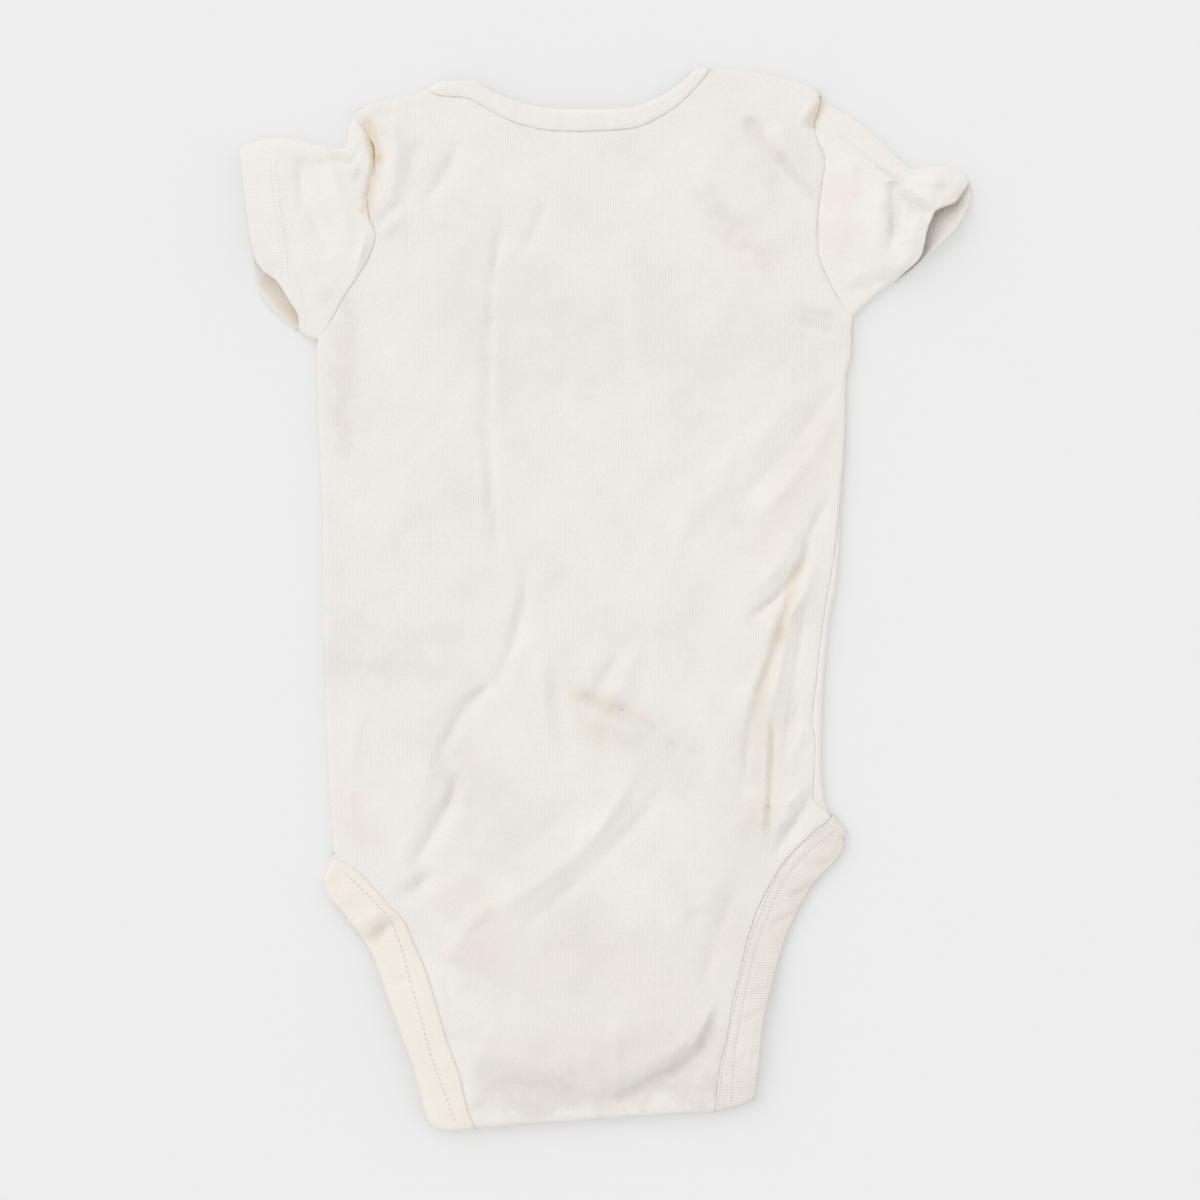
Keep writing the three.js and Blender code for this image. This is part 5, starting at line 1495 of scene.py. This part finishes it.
class BODYSUIT_OT_bindings(bpy.types.Operator):
    """Adds the neck and leg bindings and the cover stitch of the leg bindings."""
    bl_idname = "bodysuit.bindings"
    bl_label = "Bindings"

    def execute(self, context):
        settings = context.scene.bodysuit_bindings
        neck = knit_material("Neck binding knit", NECK_BINDING, ())
        plain = knit_material("Smooth binding knit", SMOOTH_BINDING, LEFT_LEG_STREAKS)
        ribbed = knit_material("Ribbed binding knit", RIBBED_BINDING, RIGHT_LEG_STREAKS)
        back = cloth("back_neck_band", settings, place_back_neck)
        settle(back, "back_neck_binding", neck)
        front = cloth("front_neck_band", settings, place_front_neck)
        settle(front, "front_neck_binding", neck)
        left_place = place_leg(LEFT_LEG_BAND, left_edge, HIP_LEFT, 1, LEFT_PUFF, LEFT_STEP)
        right_place = place_leg(RIGHT_LEG_BAND, right_edge, HIP_RIGHT, -1, RIGHT_PUFF, RIGHT_STEP)
        left = cloth("left_leg_band", settings, left_place)
        right = cloth("right_leg_band", settings, right_place)
        thread = plain_material("Sewing thread", THREAD, THREAD_ROUGHNESS)
        on_left = [(Path(LEFT_LEG_LINE), LEFT_STITCH, lambda x, y: surface_height(left, x, y))]
        on_right = [
            (Path(line), RIGHT_STITCH, lambda x, y: surface_height(right, x, y))
            for line in (RIGHT_LEG_SEAM, RIGHT_LEG_LINE)
        ]
        left_row = stitches("left_leg_stitches", on_left, context, thread)
        right_row = stitches("right_leg_stitches", on_right, context, thread)
        settle(left, "left_leg_binding", plain)
        settle(right, "right_leg_binding", ribbed)
        return {"FINISHED"}


# Outline of a closed snap from the cap underneath to the socket: radius and height
SNAP_PROFILE = (
    (0, 0), (4.3, 0), (4.8, 0.25), (4.8, 0.7), (4.5, 0.9), (1.4, 0.9), (1.4, 4.0), (4.0, 4.0),
    (4.2, 4.2), (4.2, 4.8), (3.9, 5.0), (2.6, 5.0), (2.4, 4.8), (0, 4.8),
)
SNAP_MIDDLE = (-4, -184)
SNAP_NODES = {"left_snap": -1, "middle_snap": 0, "right_snap": 1}


class BODYSUIT_OT_snaps(bpy.types.Operator):
    """Adds the three closed snaps of the crotch flaps."""
    bl_idname = "bodysuit.snaps"
    bl_label = "Snaps"

    def execute(self, context):
        settings = context.scene.bodysuit_snaps
        enamel = plain_material("Snap enamel", ENAMEL, ENAMEL_ROUGHNESS, ENAMEL_METAL)
        for node, place in SNAP_NODES.items():
            bm = bmesh.new()
            points = [bm.verts.new((radius * MM, 0, z * MM)) for radius, z in SNAP_PROFILE]
            edges = [bm.edges.new(pair) for pair in zip(points, points[1:])]
            bmesh.ops.spin(
                bm, geom=points + edges, cent=(0, 0, 0), axis=(0, 0, 1), angle=2 * np.pi,
                steps=settings.segments, use_merge=True,
            )
            bmesh.ops.remove_doubles(bm, verts=bm.verts, dist=WELD)
            bmesh.ops.recalc_face_normals(bm, faces=bm.faces)
            x = SNAP_MIDDLE[0] * MM + place * settings.spacing
            bmesh.ops.translate(bm, verts=bm.verts, vec=(x, SNAP_MIDDLE[1] * MM, 0))
            piece = add_piece("closed_" + node, bm, enamel)
            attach(piece, BODY)
            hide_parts(node)
        return {"FINISHED"}


# The camera looks straight down, from where the garment fills its frame as it does the photo's
CAMERA_PLACE = (-0.00171, 0, 1.2697)
LENS, SENSOR = 100, 36
FLOOR_SIZE, FLOOR_DROP = 6, 0.0002


class BODYSUIT_OT_stage(bpy.types.Operator):
    """Adds the floor, the lights and the camera straight above."""
    bl_idname = "bodysuit.stage"
    bl_label = "Stage"

    def execute(self, context):
        settings = context.scene.bodysuit_stage
        scene = context.scene
        bpy.ops.mesh.primitive_plane_add(size=FLOOR_SIZE, location=(0, 0, -FLOOR_DROP))
        floor = context.active_object
        floor.name = "Floor"
        floor.data.materials.append(
            plain_material("Floor", tuple(settings.floor), FLOOR_ROUGHNESS, glow=settings.glow)
        )
        lamp = bpy.data.lights.new("Main light", "SUN")
        lamp.energy = settings.sun
        lamp.angle = settings.softness
        sun = bpy.data.objects.new("Main light", lamp)
        sun.rotation_euler = Vector(settings.direction).to_track_quat("Z", "Y").to_euler()
        scene.collection.objects.link(sun)
        world = bpy.data.worlds.new("Even light")
        world.use_nodes = True
        sky = world.node_tree.nodes["Background"]
        sky.inputs["Color"].default_value = (1, 1, 1, 1)
        sky.inputs["Strength"].default_value = settings.sky
        scene.world = world
        scene.view_settings.view_transform = "Standard"
        lens = bpy.data.cameras.new("Camera")
        lens.lens = LENS
        lens.sensor_width = SENSOR
        camera = bpy.data.objects.new("Camera", lens)
        camera.location = CAMERA_PLACE
        scene.collection.objects.link(camera)
        scene.camera = camera
        return {"FINISHED"}


OPERATORS = (
    BODYSUIT_OT_front, BODYSUIT_OT_back, BODYSUIT_OT_sleeves, BODYSUIT_OT_bindings,
    BODYSUIT_OT_snaps, BODYSUIT_OT_stage,
)
SETTINGS = {
    "bodysuit_panels": BodysuitPanelSettings,
    "bodysuit_sleeves": BodysuitSleeveSettings,
    "bodysuit_bindings": BodysuitBindingSettings,
    "bodysuit_stitches": BodysuitStitchSettings,
    "bodysuit_snaps": BodysuitSnapSettings,
    "bodysuit_stage": BodysuitStageSettings,
}


class BODYSUIT_PT_sidebar(bpy.types.Panel):
    """Settings of the pieces, and the buttons that add them."""
    bl_idname = "BODYSUIT_PT_sidebar"
    bl_label = "Bodysuit"
    bl_space_type = "VIEW_3D"
    bl_region_type = "UI"
    bl_category = "Bodysuit"

    def draw(self, context):
        for name, group in SETTINGS.items():
            box = self.layout.box()
            for prop in group.__annotations__:
                box.prop(getattr(context.scene, name), prop)
        for operator in OPERATORS:
            self.layout.operator(operator.bl_idname)


def register():
    for name, group in SETTINGS.items():
        bpy.utils.register_class(group)
        setattr(bpy.types.Scene, name, PointerProperty(type=group))
    for kind in (*OPERATORS, BODYSUIT_PT_sidebar):
        bpy.utils.register_class(kind)


def unregister():
    for kind in (BODYSUIT_PT_sidebar, *reversed(OPERATORS)):
        bpy.utils.unregister_class(kind)
    for name, group in SETTINGS.items():
        delattr(bpy.types.Scene, name)
        bpy.utils.unregister_class(group)


def main():
    register()
    bpy.ops.bodysuit.front()
    bpy.ops.bodysuit.back()
    bpy.ops.bodysuit.sleeves()
    bpy.ops.bodysuit.bindings()
    bpy.ops.bodysuit.snaps()
    bpy.ops.bodysuit.stage()
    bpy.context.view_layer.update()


if __name__ == "__main__":
    main()
